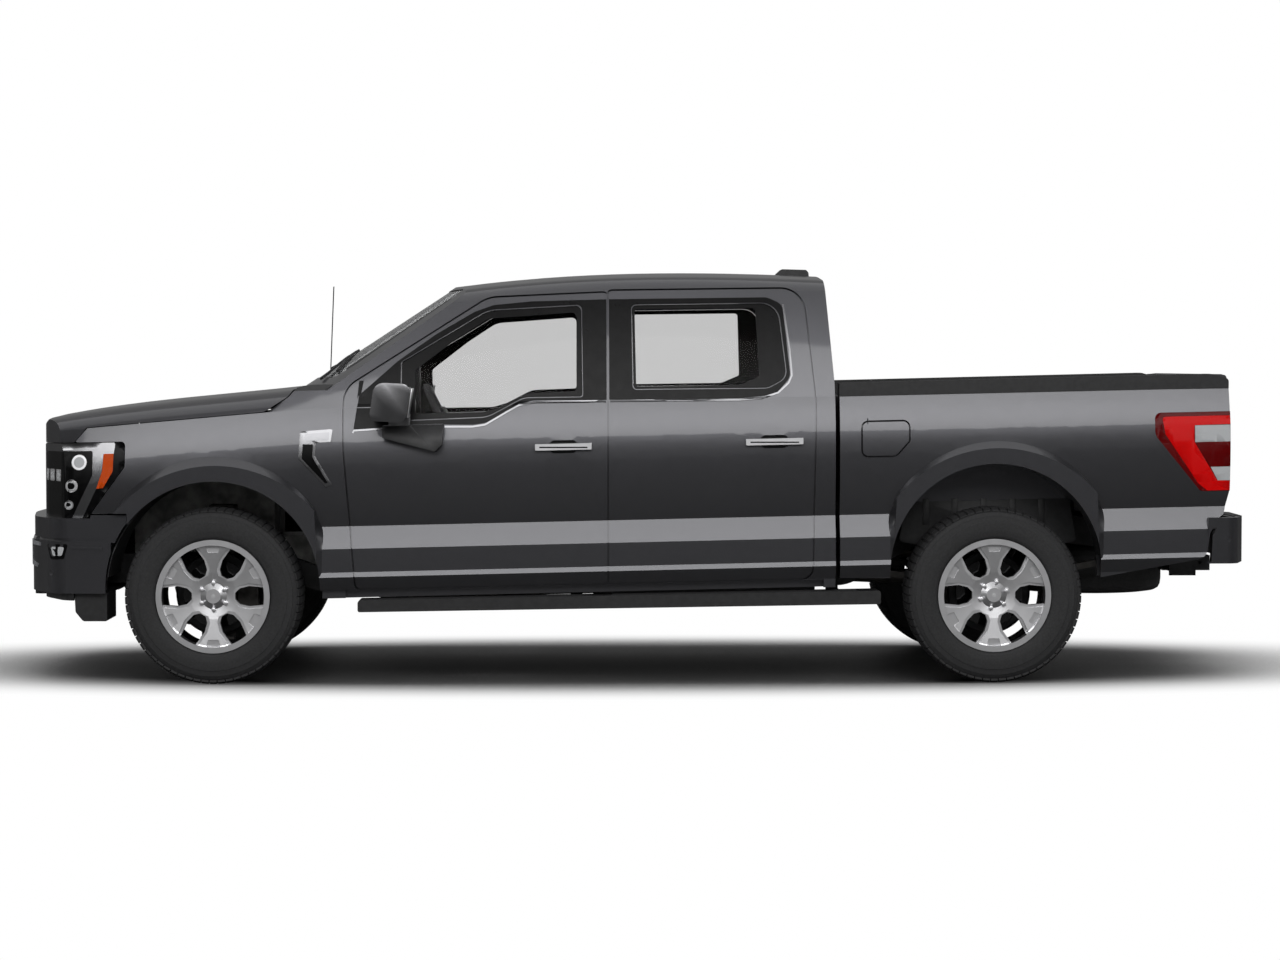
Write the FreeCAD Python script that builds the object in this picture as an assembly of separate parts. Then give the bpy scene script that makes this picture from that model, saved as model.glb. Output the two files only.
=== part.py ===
import FreeCAD
import Part
import math
import os

V = FreeCAD.Vector
FORMS = {}


def kept(key, make):
    """A form that several pieces share, made once."""
    if key not in FORMS:
        FORMS[key] = make()
    return FORMS[key]


# Overall size
LENGTH = 5885.0
WHEELBASE = 3693.0
FRONT_OVERHANG = 960.0
TRACK = 1717.0
NOSE_X = -LENGTH / 2
FRONT_AXLE_X = NOSE_X + FRONT_OVERHANG
REAR_AXLE_X = FRONT_AXLE_X + WHEELBASE
HALF_TRACK = TRACK / 2

# The body stands a little nose down: every body level rises towards the rear
RAKE = 0.022

# Wheels
TYRE_R = 416.0
TYRE_WIDTH = 275.0
RIM_R = 268.0
RIM_HALF = 124.0
BEAD_HALF = 113.0
BEAD_R = 250.0
BARREL_WALL = 9.0
SPOKES = 6
DISC_R = 160.0
DISC_THICK = 30.0
DISC_INBOARD = 62.0
HUB_R = 78.0
SPINDLE_R = 30.0
RUNNING_GAP = 0.06
KINGPIN_Y = 780.0

# Body side, levels above the sloping datum and half widths
SILL_Z = 476.0
BELT_Z = 1337.0
WAIST_Z = 775.0
SHELF_Z = 671.0
LEDGE_TOP_Z = 560.0
LEDGE_Z = 538.0
SIDE_MAX = 986.0
BELT_Y = 938.0
WAIST_Y = 958.0
SHELF_Y = 996.0
LEDGE_Y = 1006.0
SILL_Y = 980.0

# Greenhouse
GLASS_FOOT_Z = 1180.0
GLASS_FOOT_Y = 970.0
GLASS_MID_Z = 1590.0
GLASS_MID_Y = 862.0
RAIL_Z = 1862.0
RAIL_Y = 775.0
ROOF_Z = 1956.0

# Shut lines
GAP = 8.0
FLANGE = 12.0
PILLAR_X = -120.0
DOOR_WALL = 105.0
FRAME_WALL = 60.0
CAB_WALL = 112.0
ROOF_WALL = 62.0
BLOCK_INSET = 32.0
LAND_INSET = 14.0
PILLAR_HALF = 50.0
SEAM_RIM_Y = -925.2

# Cab
FIREWALL_X = -1480.0
FENDER_WALL = 26.0
CAB_REAR_X = 955.0
FLOOR_Z = 560.0
FLOOR_WALL = 30.0

# Bed
BED_FRONT_X = 976.0
BED_REAR_X = 2828.0
BED_FLOOR_Z = 856.0
BED_RAIL_Z = 1335.0
RAIL_CAP_Z = 1401.0
BED_INNER_Y = 840.0
BED_FLOOR_WALL = 40.0
TAILGATE_WALL = 68.0

# Frame levels
FRAME_Z = 545.0
FRAME_KICK_Z = 740.0
FRAME_TAIL_Z = 700.0

# Towing gear
HITCH_PIN_X = 2880.0
HITCH_Z = 508.0
HITCH_PIN_R = 8.0
TOW_EYE_R = 22.0
TOW_EYE_X = -2872.0
TOW_EYE_Z = 402.0

# Wheel arches
ARCH_R = 500.0
ARCH_Z = 503.0
FLARE_HALF = 475.0
FLARE_FOOT_Z = 855.0
FLARE_TOP_Z = 1123.0
FLARE_FLAT_Z = 1077.0
FLARE_Y = 1012.0

# Angles of the windscreen and tolerances between fixed pieces
SCREEN_BASE = (-1568.0, 1438.0)
SCREEN_RUN = (688.0, 450.0)
SCREEN_SWEEP_R = 1906.0
GLASS_THICK = 5.0


def lift(x, z):
    """Height of a body point from its level above the sloping datum."""
    return z + RAKE * x


def curve(points):
    """A line through two points, or a smooth curve through more."""
    if len(points) == 2:
        return Part.LineSegment(points[0], points[1]).toShape()
    spline = Part.BSplineCurve()
    spline.interpolate(points)
    return spline.toShape()


def rounded_wire(corners, place):
    """Closed wire through (u, v) or (u, v, radius) corners; place makes the point."""
    points = [place(c[0], c[1]) for c in corners]
    count = len(points)
    arcs = []
    for i, corner in enumerate(points):
        radius = corners[i][2] if len(corners[i]) > 2 else 0
        if radius == 0:
            arcs.append((corner, None, corner))
            continue
        before = (points[i - 1] - corner).normalize()
        after = (points[(i + 1) % count] - corner).normalize()
        half = before.getAngle(after) / 2
        reach = radius / math.tan(half)
        bisector = (before + after).normalize()
        centre = corner + bisector * (radius / math.sin(half))
        arcs.append((corner + before * reach, centre - bisector * radius, corner + after * reach))
    edges = []
    for i in range(count):
        start, middle, end = arcs[i]
        previous_end = arcs[i - 1][2]
        if previous_end.distanceToPoint(start) > 0.001:
            edges.append(Part.LineSegment(previous_end, start).toShape())
        if middle is not None:
            edges.append(Part.Arc(start, middle, end).toShape())
    return Part.Wire(edges)


def side_prism(corners, y0, y1, grow=0.0):
    """A body outline seen from the side, grown by an offset, between two widths."""
    wire = rounded_wire(corners, lambda x, z: V(x, y0, lift(x, z)))
    if grow:
        wire = wire.makeOffset2D(grow, join=0)
    return Part.Face(wire).extrude(V(0, y1 - y0, 0))


def level_prism(corners, y0, y1):
    """An outline seen from the side without the body's slope, between two widths."""
    wire = rounded_wire(corners, lambda x, z: V(x, y0, z))
    return Part.Face(wire).extrude(V(0, y1 - y0, 0))


def plan_prism(corners, z0, z1, grow=0.0):
    """An outline seen from above, between two heights."""
    wire = rounded_wire(corners, lambda x, y: V(x, y, z0))
    if grow:
        wire = wire.makeOffset2D(grow, join=0)
    return Part.Face(wire).extrude(V(0, 0, z1 - z0))


def front_prism(corners, x0, x1):
    """An outline seen from the front, following the body's slope, between two stations."""
    wire = rounded_wire(corners, lambda y, z: V(x0, y, lift(x0, z)))
    return Part.Face(wire).extrude(V(x1 - x0, 0, RAKE * (x1 - x0)))


def slab(x0, x1, y0, y1, z0, z1):
    """A block that follows the body's slope."""
    return side_prism([(x0, z0), (x1, z0), (x1, z1), (x0, z1)], y0, y1)


def box(x0, x1, y0, y1, z0, z1):
    """A level block."""
    return Part.makeBox(x1 - x0, y1 - y0, z1 - z0, V(x0, y0, z0))


def rod(a, b, radius):
    """A round bar between two points."""
    return Part.makeCylinder(radius, (b - a).Length, a, b - a)


def turned(profile, centre, axis=V(0, 1, 0)):
    """A ring or disc turned about the Y direction from (offset, radius) points."""
    points = [centre + V(0, offset, 0) + V(0, 0, radius) for offset, radius in profile]
    face = Part.Face(Part.makePolygon(points + [points[0]]))
    return face.revolve(centre, axis, 360)


def mirrored(shape):
    """The same piece on the truck's other side."""
    return shape.mirror(V(0, 0, 0), V(0, 1, 0))


def both(shape):
    """A left piece together with its right twin."""
    return Part.makeCompound([shape, mirrored(shape)])


def fused(shapes):
    """One shape from several that touch or overlap."""
    first = shapes[0]
    if len(shapes) == 1:
        return first
    return first.fuse(shapes[1:]).removeSplitter()


# Sections across the body

def section(x, chains, crown=()):
    """Closed section at a station, from right-hand chains of (half width, level) points."""
    top_y, top_z = chains[-1][-1]
    left = [[(-y, z) for y, z in reversed(chain)] for chain in reversed(chains)]
    bridge = [(top_y, top_z)] + list(crown)
    bridge += [(-y, z) for y, z in reversed(list(crown)) if y > 0]
    bridge.append((-top_y, top_z))
    bottom = [left[-1][-1], chains[0][0]]
    edges = []
    for chain in chains + [bridge] + left + [bottom]:
        edges.append(curve([V(x, y, lift(x, z)) for y, z in chain]))
    return Part.Wire(edges)


def barrel(x):
    """How far the body side has come in from its widest place."""
    nose_start = -2250.0
    nose_rate = 1.5e-4
    nose = max(0.0, nose_start - x)
    return 2.2e-6 * (x - 300.0) ** 2 + nose_rate * nose ** 2


def belt_level(x):
    """Level of the top of the body side: straight at the doors, falling along the hood."""
    forward = max(0.0, -1400.0 - x)
    return BELT_Z - 0.068 * forward ** 2 / (forward + 120.0)


def side_section(x, inset):
    """Section of the body side from sill to belt."""
    top = belt_level(x)
    drop = barrel(x) + inset
    shoulder = [(WAIST_Y, WAIST_Z), (978, 890), (SIDE_MAX, 1040), (982, top - 187)]
    shoulder += [(968, top - 107), (BELT_Y, top)]
    chains = [
        [(SILL_Y, SILL_Z - 40), (SILL_Y, SILL_Z)],
        [(SILL_Y, SILL_Z), (LEDGE_Y, LEDGE_Z)],
        [(LEDGE_Y, LEDGE_Z), (SHELF_Y + 2, LEDGE_TOP_Z)],
        [(SHELF_Y + 2, LEDGE_TOP_Z), (SHELF_Y, SHELF_Z)],
        [(SHELF_Y, SHELF_Z), (WAIST_Y, WAIST_Z)],
        shoulder,
    ]
    return section(x, [[(y - drop, z) for y, z in chain] for chain in chains])


def side_solid(stations, inset=0.0):
    """The whole width of the body below its belt between the first and last station."""
    def make():
        return Part.makeLoft([side_section(x, inset) for x in stations], True, False)

    return kept(("side", stations, inset), make)


def roof_drop(x):
    """How far the roof's centre has fallen towards the screen and the rear edge."""
    forward = max(0.0, -100.0 - x)
    rearward = max(0.0, x - 600.0)
    return 7.5e-5 * forward ** 2 + 2.2e-4 * rearward ** 2


def top_section(x, inset):
    """Section of the greenhouse from below the belt to the roof."""
    drop = roof_drop(x)
    roof_inset = inset * 0.8
    narrow = 1.0e-5 * (x - 100.0) ** 2 + inset
    side = [(GLASS_FOOT_Y, GLASS_FOOT_Z), (GLASS_MID_Y, GLASS_MID_Z - drop * 0.5)]
    side.append((RAIL_Y, RAIL_Z - drop * 0.9))
    side = [(y - narrow, z - roof_inset * 0.3) for y, z in side]
    crown = [(740, 1900), (620, 1928), (330, 1950)]
    crown = [(y - narrow, z - drop - roof_inset) for y, z in crown]
    crown.append((0, ROOF_Z - drop - roof_inset))
    return section(x, [side], crown)


def top_loft(inset=0.0):
    """The greenhouse before its ends are trimmed."""
    return kept(("top", inset), lambda: Part.makeLoft([top_section(x, inset) for x in CAB_STATIONS], True, False))


def screen_prism(shift):
    """Everything behind the windscreen's swept surface, moved rearwards by a shift."""
    reach = 1000.0
    sweep = reach ** 2 / (2 * SCREEN_SWEEP_R)
    run = V(SCREEN_RUN[0], 0, SCREEN_RUN[1])
    start = V(SCREEN_BASE[0] + shift, 0, SCREEN_BASE[1]) - run * 0.7
    back = 4000.0
    left = start + V(sweep, -reach, 0)
    right = start + V(sweep, reach, 0)
    far_left = start + V(back, -reach, 0)
    far_right = start + V(back, reach, 0)
    edges = [
        Part.Arc(left, start, right).toShape(),
        Part.LineSegment(right, far_right).toShape(),
        Part.LineSegment(far_right, far_left).toShape(),
        Part.LineSegment(far_left, left).toShape(),
    ]
    return Part.Face(Part.Wire(edges)).extrude(run * 2.4)


def rear_prism(shift):
    """Everything ahead of the cab's rear wall, which leans forward above the belt."""
    x = CAB_REAR_X - shift
    corners = [(-2600, 300), (x, 300), (x, 1400, 300), (x - 62, 2200), (-2600, 2200)]
    return side_prism(corners, -1100, 1100)


CAB_STATIONS = (-1760.0, -1100.0, -400.0, 300.0, 1000.0)
DOOR_STATIONS = (-1500.0, -900.0, -300.0, 300.0, 1000.0)
FRONT_STATIONS = (-2900.0, -2600.0, -2300.0, -1900.0, -1500.0, -1250.0)
BED_STATIONS = (960.0, 1400.0, 1900.0, 2400.0, 2860.0)


def top_solid(inset=0.0):
    """The greenhouse, trimmed by the screen and the rear wall."""
    whole = top_loft(inset)
    return whole.common(screen_prism(inset * 1.4)).common(rear_prism(inset * 0.9))


def cab_solid(inset_side, inset_top):
    """The cab's outer form with its sides and its greenhouse moved inwards."""
    def make():
        side = side_solid(DOOR_STATIONS, inset_side).common(rear_prism(inset_side * 0.5))
        return side.fuse(top_solid(inset_top))

    return kept(("cab", inset_side, inset_top), make)


# Doors and windows

FRONT_DOOR = [
    (-1371, 1425, 120),
    (-1367, 1136, 1500),
    (-1311, SILL_Z, 30),
    (PILLAR_X, SILL_Z, 10),
    (PILLAR_X, 1858, 22),
    (-688, 1845, 160),
]
REAR_DOOR = [
    (PILLAR_X, SILL_Z, 10),
    (847, SILL_Z, 60),
    (864, 1321, 800),
    (812, 1858, 118),
    (PILLAR_X, 1866, 22),
]
FRONT_WINDOW = [
    (-1098, 1269, 15),
    (-1098, 1544, 15),
    (-690, 1781, 160),
    (-246, 1796, 26),
    (-240, 1362, 14),
    (-520, 1364, 120),
    (-690, 1276, 160),
]
REAR_WINDOW = [
    (0, 1392, 20),
    (-6, 1792, 26),
    (690, 1787, 90),
    (728, 1430, 60),
    (640, 1384, 90),
]


def door_opening(body, outline):
    """The cab with a stepped opening for one door on the left side."""
    inner = cab_solid(FLANGE + 4, FLANGE + 4)
    step = side_prism(outline, -1100, -600, GAP / 2).cut(inner)
    through = side_prism(outline, -1100, -500, -LAND_INSET)
    pillar = slab(PILLAR_X - PILLAR_HALF, PILLAR_X + PILLAR_HALF, -1100, -500, 300, 2100)
    return body.cut(step).cut(through.cut(pillar))


def door_panel(outline, window, grip):
    """A left door: an outer skin to the shut line and a thicker block inside it."""
    whole = cab_solid(0, 0)
    under = cab_solid(FLANGE, FLANGE)
    inside = cab_solid(DOOR_WALL, FRAME_WALL)
    skin = side_prism(outline, -1100, -600, -GAP / 2).common(whole).cut(under)
    block = side_prism(outline, -1100, -600, -BLOCK_INSET).common(under).cut(inside)
    jamb = PILLAR_HALF + 20
    block = block.cut(slab(PILLAR_X - jamb, PILLAR_X + jamb, -1100, -500, 300, 2100))
    door = skin.fuse(block).removeSplitter()
    door = door.cut(box(PILLAR_X, PILLAR_X + jamb, SEAM_RIM_Y, -905, 1332, 1343))
    x0, x1, z0 = grip
    middle = (x0 + x1) / 2
    cup = side_prism([(middle - 66, z0 - 16, 24), (middle + 66, z0 - 16, 24), (middle + 66, z0 + 46, 24),
                      (middle - 66, z0 + 46, 24)], -1100, -950)
    return door.cut(side_prism(window, -1200, -500)).cut(cup)


def door_glass(window):
    """The pane that fills one left door's window."""
    depth = 9.0
    layer = top_loft(depth).cut(top_loft(depth + GLASS_THICK))
    return side_prism(window, -1100, -600).common(layer)


def handle(x0, x1, z0):
    """A pull handle standing on a left door."""
    height = 30.0
    y = -(SIDE_MAX + 24)
    grip = side_prism([(x0, z0, 8), (x1, z0, 8), (x1, z0 + height, 8), (x0, z0 + height, 8)], y, y + 15)
    foot_width = 44.0
    feet = [slab(a, a + foot_width, y + 12, -900, z0, z0 + height) for a in (x0, x1 - foot_width)]
    whole = cab_solid(0, 0)
    return fused([grip] + [foot.cut(whole) for foot in feet])


def mirror_unit():
    """The left door mirror: head, foot and its reflecting side at the rear."""
    head = [(-1232, 1275, 30), (-1062, 1262, 40), (-1034, 1440, 40), (-1205, 1452, 50)]
    shell = side_prism(head, -1205, -1010)
    arm = side_prism([(-1190, 1285), (-1075, 1285), (-1060, 1330), (-1190, 1330)], -1030, -930)
    foot = [(-1180, 1190, 10), (-930, 1120, 10), (-900, 1150, 10), (-890, 1250, 10), (-1180, 1250, 10)]
    base = side_prism(foot, -1040, -900).cut(cab_solid(0, 0))
    riser = side_prism([(-1150, 1230), (-1050, 1230), (-1050, 1300), (-1150, 1300)], -1040, -970)
    return fused([shell, riser.cut(cab_solid(0, 0)), base, arm.cut(cab_solid(0, 0))])


# Cab

def cab_shell():
    """Pillars, roof, floor, dash wall and rear wall in one hollow shell."""
    whole = cab_solid(0, 0)
    cover = side_solid(FRONT_STATIONS, FENDER_WALL)
    zone = slab(-1900, -1296, -1200, 1200, 300, BELT_Z)
    whole = whole.cut(zone.cut(cover))
    whole = whole.cut(both(fender_top()))
    whole = whole.cut(slab(-2600, FIREWALL_X, -1200, 1200, 300, BELT_Z))
    whole = whole.cut(both(arch_prism(FRONT_AXLE_X, -1200, -500, 9)))
    sill = slab(-1360, 900, 925, 1100, 300, SILL_Z - 2)
    whole = whole.cut(both(sill))
    cavity = cab_solid(CAB_WALL, ROOF_WALL)
    back = CAB_REAR_X - 60
    cavity = cavity.common(slab(FIREWALL_X + 40, back, -1200, 1200, FLOOR_Z + FLOOR_WALL, 2100))
    underside = slab(-1700, 1100, -1200, 1200, 300, SILL_Z - 46)
    under_floor = slab(-1600, 1100, -700, 700, 300, FLOOR_Z)
    tunnel = [(-1500, 500), (-1500, 740), (-880, 740, 60), (-60, 610), (960, 574), (960, 500)]
    shell = whole.cut(cavity).cut(underside).cut(under_floor)
    shell = shell.fuse(floor_hump()).cut(side_prism(tunnel, -184, 184))
    for outline in (FRONT_DOOR, REAR_DOOR):
        shell = door_opening(shell, outline)
        shell = mirrored(door_opening(mirrored(shell), outline))
    shell = shell.cut(side_prism(hood_outline(), -1100, 1100, 6))
    return shell.cut(screen_hole()).cut(rear_window_hole())


def floor_hump():
    """The raised middle of the floor over gearbox and shaft."""
    back = CAB_REAR_X - 60
    corners = [(-1470, 560), (-1470, 768), (-870, 768, 70), (-40, 636), (back, 600), (back, 560)]
    return side_prism(corners, -208, 208)


def screen_hole():
    """The opening of the windscreen, cut along the truck."""
    corners = [(-740, 1478, 60), (740, 1478, 60), (640, 1890, 60), (-640, 1890, 60)]
    return front_prism(corners, -1800, -560)


def rear_window_hole():
    """The opening of the cab's rear window."""
    corners = [(-620, 1420, 50), (620, 1420, 50), (560, 1800, 60), (-560, 1800, 60)]
    return front_prism(corners, 700, 1100)


def cab_glass():
    """Windscreen and rear window."""
    screen = screen_prism(6).cut(screen_prism(6 + GLASS_THICK * 1.8)).common(screen_hole())
    rear = rear_prism(6).cut(rear_prism(6 + GLASS_THICK)).common(rear_window_hole())
    return Part.makeCompound([screen, rear])


def cowl():
    """The panel between the hood and the windscreen."""
    outline = [(-1700, 1330), (-1618, 1400), (-1596, 1434, 10), (-1530, 1446), (-1360, 1446), (-1360, 1412),
               (-1560, 1400), (-1600, 1340)]
    panel = side_prism(outline, -900, 900).common(top_loft(FENDER_WALL + 3))
    return panel.cut(screen_prism(0)).cut(side_prism(hood_outline(), -1100, 1100, 6)).cut(cab_solid(0, 0))


# Hood and fenders

HOOD_SETBACK = 64.0
LAMP_TOP_Z = 1195.0


def hood_section(x, inset):
    """Section of the hood from its side line to its crown."""
    top = belt_level(x)
    side_y = BELT_Y - barrel(x) - inset
    ahead = max(0.0, -2350.0 - x)
    rise = 104.0 + 0.014 * (x + 2200.0) - 1.1e-4 * ahead ** 2
    base = [(side_y, top - 70), (side_y, top)]
    crown = [(side_y - 22, top + rise * 0.34), (side_y - 84, top + rise * 0.67)]
    crown += [(600, top + rise * 0.88), (300, top + rise * 0.98), (0, top + rise)]
    crown = [(y, z - inset) for y, z in crown]
    return section(x, [base], crown)


def hood_body(inset):
    """The hood's outer form, rounded in plan at its nose."""
    stations = (-2900.0, -2650.0, -2350.0, -2000.0, -1600.0)
    loft = Part.makeLoft([hood_section(x, inset) for x in stations], True, False)
    loft = loft.common(plan_prism(front_plan(HOOD_SETBACK + inset) + [(-1600, -978), (-1600, 978)], 1000, 1600))
    return loft.common(side_prism(hood_nose(inset * 0.7), -1100, 1100))


def hood_nose(shift):
    """Side outline that slants the hood's front edge, moved inwards by a shift."""
    slant = [(-2640, 1760), (-2762, 1326, 90), (-2893, 1228, 30), (-2980, 1150)]
    front = [(c[0] + shift, c[1] - shift) + tuple(c[2:]) for c in slant]
    return front + [(-2980, 1000), (-1500, 1000), (-1500, 1760)]


def hood_outline():
    """The hood seen from the side, with its deep nose and slanting rear edge."""
    line = [(x, belt_level(x) + 4) for x in (-2580.0, -2300.0, -2000.0, -1743.0)]
    line[-1] = line[-1] + (60,)
    return [(-2960, LAMP_TOP_Z + 4), (-2640, LAMP_TOP_Z + 4, 20)] + line + [
        (-1632, 1395, 60), (-1600, 1480), (-1600, 1700), (-2960, 1700)]


def hood():
    """The hood: a curved panel with turned-down edges."""
    panel = hood_body(0).cut(hood_body(26))
    return panel.common(side_prism(hood_outline(), -1100, 1100))


def arch_outline(axle_x, extra=0.0):
    """The round opening of a wheel arch, straight below its middle."""
    centre = axle_x + 4
    radius = ARCH_R + extra
    return centre, radius


def arch_prism(axle_x, y0, y1, extra=0.0):
    """The space under a wheel arch between two widths."""
    centre, radius = arch_outline(axle_x, extra)
    z = lift(centre, ARCH_Z)
    low = 200.0
    top = V(centre, y0, z + radius)
    left = V(centre - radius, y0, z)
    right = V(centre + radius, y0, z)
    arc = Part.Arc(left, top, right).toShape()
    corners = [right, V(centre + radius, y0, low), V(centre - radius, y0, low), left]
    lines = [Part.LineSegment(a, b).toShape() for a, b in zip(corners, corners[1:])]
    return Part.Face(Part.Wire([arc] + lines)).extrude(V(0, y1 - y0, 0))


def flare_ring(axle_x, y, crest, spread):
    """Outline of a flare at one width: an arc over the wheel and two slanting feet."""
    centre = axle_x + 6
    top = V(centre, y, lift(centre, crest))
    ends = []
    feet = []
    for side in (-1, 1):
        x = centre + side * FLARE_HALF
        ends.append(V(x, y, lift(x, FLARE_FOOT_Z)))
        foot_x = x + side * spread
        feet.append(V(foot_x, y, lift(foot_x, FLARE_FOOT_Z - 190)))
    deep = [foot + V(0, 0, -120) for foot in feet]
    arc = Part.Arc(ends[0], top, ends[1]).toShape()
    path = [ends[1], feet[1], deep[1], deep[0], feet[0], ends[0]]
    return Part.Wire([arc] + [Part.LineSegment(a, b).toShape() for a, b in zip(path, path[1:])])


def flare(axle_x):
    """The raised band over a left wheel arch."""
    slope = (FLARE_TOP_Z - FLARE_FLAT_Z) / 34.0
    root_y = -(FLARE_Y - 70)
    outer = flare_ring(axle_x, root_y, FLARE_TOP_Z + slope * 20, 88)
    lip = flare_ring(axle_x, -FLARE_Y, FLARE_FLAT_Z, 8)
    band = Part.makeLoft([outer, lip], True, True)
    return band.cut(arch_prism(axle_x, -1100, -600))


def arch_liner(axle_x, y_in, stations):
    """A wheel arch liner on the left side, reaching out to the inside of the skin."""
    thick = 5.0
    outer = arch_prism(axle_x, -1000, -y_in, thick)
    inner = arch_prism(axle_x, -1001, -y_in + 1)
    trim = slab(axle_x - 700, axle_x + 700, -1200, 0, 100, 560)
    inside = side_solid(stations, FENDER_WALL)
    return outer.cut(inner).cut(trim).common(inside)


def fender_top():
    """The left fender's upper rear part, between the hood, the screen and the door."""
    corners = [(-1743, BELT_Z - 22), (-1632, 1391, 60), (-1606, 1419), (-1250, 1419), (-1250, BELT_Z)]
    layer = top_loft().cut(top_loft(FENDER_WALL))
    top = side_prism(corners, -1100, -600).common(layer)
    return top.cut(side_prism(FRONT_DOOR, -1200, -600, GAP / 2))


def fender():
    """The left front fender with its flare."""
    wall = side_solid(FRONT_STATIONS).cut(side_solid(FRONT_STATIONS, FENDER_WALL))
    corners = [(-2640, LAMP_TOP_Z + 4, 20), (-2394, LAMP_TOP_Z + 4, 20), (-2394, 1079, 40), (-2566, BUMPER_TOP_Z),
               (-2566, SILL_Z), (-1300, SILL_Z), (-1300, 1600), (-2640, 1600)]
    wall = wall.common(side_prism(corners, -1100, -600))
    wall = wall.cut(side_prism(FRONT_DOOR, -1200, -600, GAP / 2))
    wall = wall.cut(side_prism(LAMP_SIDE, -1200, -600, 4))
    band = flare(FRONT_AXLE_X).cut(side_solid(FRONT_STATIONS, 10))
    band = band.cut(slab(-2600, -2380, -1100, -600, 300, BUMPER_TOP_Z + 2))
    band = band.cut(side_prism(FRONT_DOOR, -1200, -600, GAP / 2))
    wall = wall.cut(arch_prism(FRONT_AXLE_X, -1100, -600))
    wall = wall.cut(slab(-2700, -2300, -1200, -600, 300, BUMPER_TOP_Z + 2))
    whole = wall.fuse([band, fender_top()]).removeSplitter()
    return whole.cut(side_prism(hood_outline(), -1100, 0, 4))


# Front end

BUMPER_TOP_Z = 860.0
FRONT_END_X = -2461.0
BUMPER_EAR_X = -2394.0
BUMPER_EAR_Z = 800.0
LAMP_SIDE = [(-2960, LAMP_TOP_Z), (-2398, LAMP_TOP_Z, 24), (-2398, 1081, 40), (-2576, 842, 30), (-2960, 842)]
FRONT_PLAN = [(-2300, 988), (-2740, 950, 120), (-2872, 700, 400), (-2942.5, 260, 1400)]


def front_plan(shift):
    """Plan of the front end, moved rearwards by a shift."""
    right = [(c[0] + shift,) + tuple(c[1:]) for c in FRONT_PLAN]
    left = [(c[0], -c[1]) + tuple(c[2:]) for c in reversed(right)]
    return right + left


def front_band(shift, wall, z0, z1, end_x=FRONT_END_X):
    """A plan-curved wall of the front end between two heights, open at its rear."""
    outer = plan_prism(front_plan(shift), z0, z1)
    inner = plan_prism(front_plan(shift), z0 - 1, z1 + 1, -wall)
    return outer.cut(inner).common(box(-3000, end_x + shift, -1100, 1100, z0, z1))


def front_bumper():
    """The painted front bumper."""
    upper = front_band(8, 96, 690, 784)
    lower = front_band(0, 60, 430, 676)
    join = front_band(30, 40, 670, 695)
    ear = front_band(8, 26, 690, BUMPER_EAR_Z, BUMPER_EAR_X).cut(box(-3000, -2556, -1100, 1100, 600, 900))
    opening = box(-3000, -2700, -560, 560, 500, 640)
    shape = fused([upper, lower, join, ear]).cut(opening)
    return shape.cut(both(arch_prism(FRONT_AXLE_X, -1100, -600, 9)))


def air_dam():
    """The black lower edge of the front end with a flap ahead of each wheel."""
    band = front_band(60, 30, 396, 430).cut(box(-2640, -2400, -1100, 1100, 300, 431))
    flaps = []
    for side in (-1, 1):
        outline = [(-2640, 430), (-2636, 340, 20), (-2600, 296, 20), (-2490, 296, 10), (-2466, 330), (-2470, 430)]
        y0 = side * 640
        y1 = side * 925
        flaps.append(level_prism(outline, min(y0, y1), max(y0, y1)).common(
            box(-2700, -2400, min(y0, y1), max(y0, y1), 290, 430)))
    floor = plan_prism(front_plan(62), 422, 430).common(box(-2900, -2480, -920, 920, 420, 431))
    hook_room = box(-3000, -2640, -466, -374, 388, 440)
    whole = fused([band, floor] + flaps).cut(both(hook_room))
    return whole.cut(both(arch_prism(FRONT_AXLE_X, -1100, -600, 9)))


def grille():
    """The grille: a frame with horizontal bars across it."""
    z0 = 784.0
    z1 = 1126.0
    half = 640.0
    frame = front_band(62, 60, z0, z1).common(box(-3000, -2600, -half, half, z0, z1))
    opening = box(-3000, -2500, -half + 45, half - 45, z0 + 45, z1 - 45)
    frame = frame.cut(opening)
    bars = []
    count = 5
    pitch = (z1 - z0 - 90) / count
    for i in range(count):
        centre = z0 + 45 + pitch * (i + 0.5)
        bar = front_band(76, 26, centre - 16, centre + 16)
        bars.append(bar.common(box(-3000, -2600, -half, half, z0, z1)))
    stays = [box(-2830, -2740, y - 20, y + 20, z0 + 4, z0 + 40) for y in (-380, 380)]
    return fused([frame] + bars + stays)


def headlamps():
    """The left headlamp, flush with the fender's side and the grille's front."""
    depth = 130.0
    form = side_solid(FRONT_STATIONS, 4).common(plan_prism(front_plan(66), 700, 1300))
    inner = side_solid(FRONT_STATIONS, depth).common(plan_prism(front_plan(66 + depth), 700, 1300))
    block = side_prism(LAMP_SIDE, -1100, -646)
    lamp = block.common(form.cut(inner))
    return lamp.cut(box(-3000, -2300, -1100, 0, 600, 784))


# Bed

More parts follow.
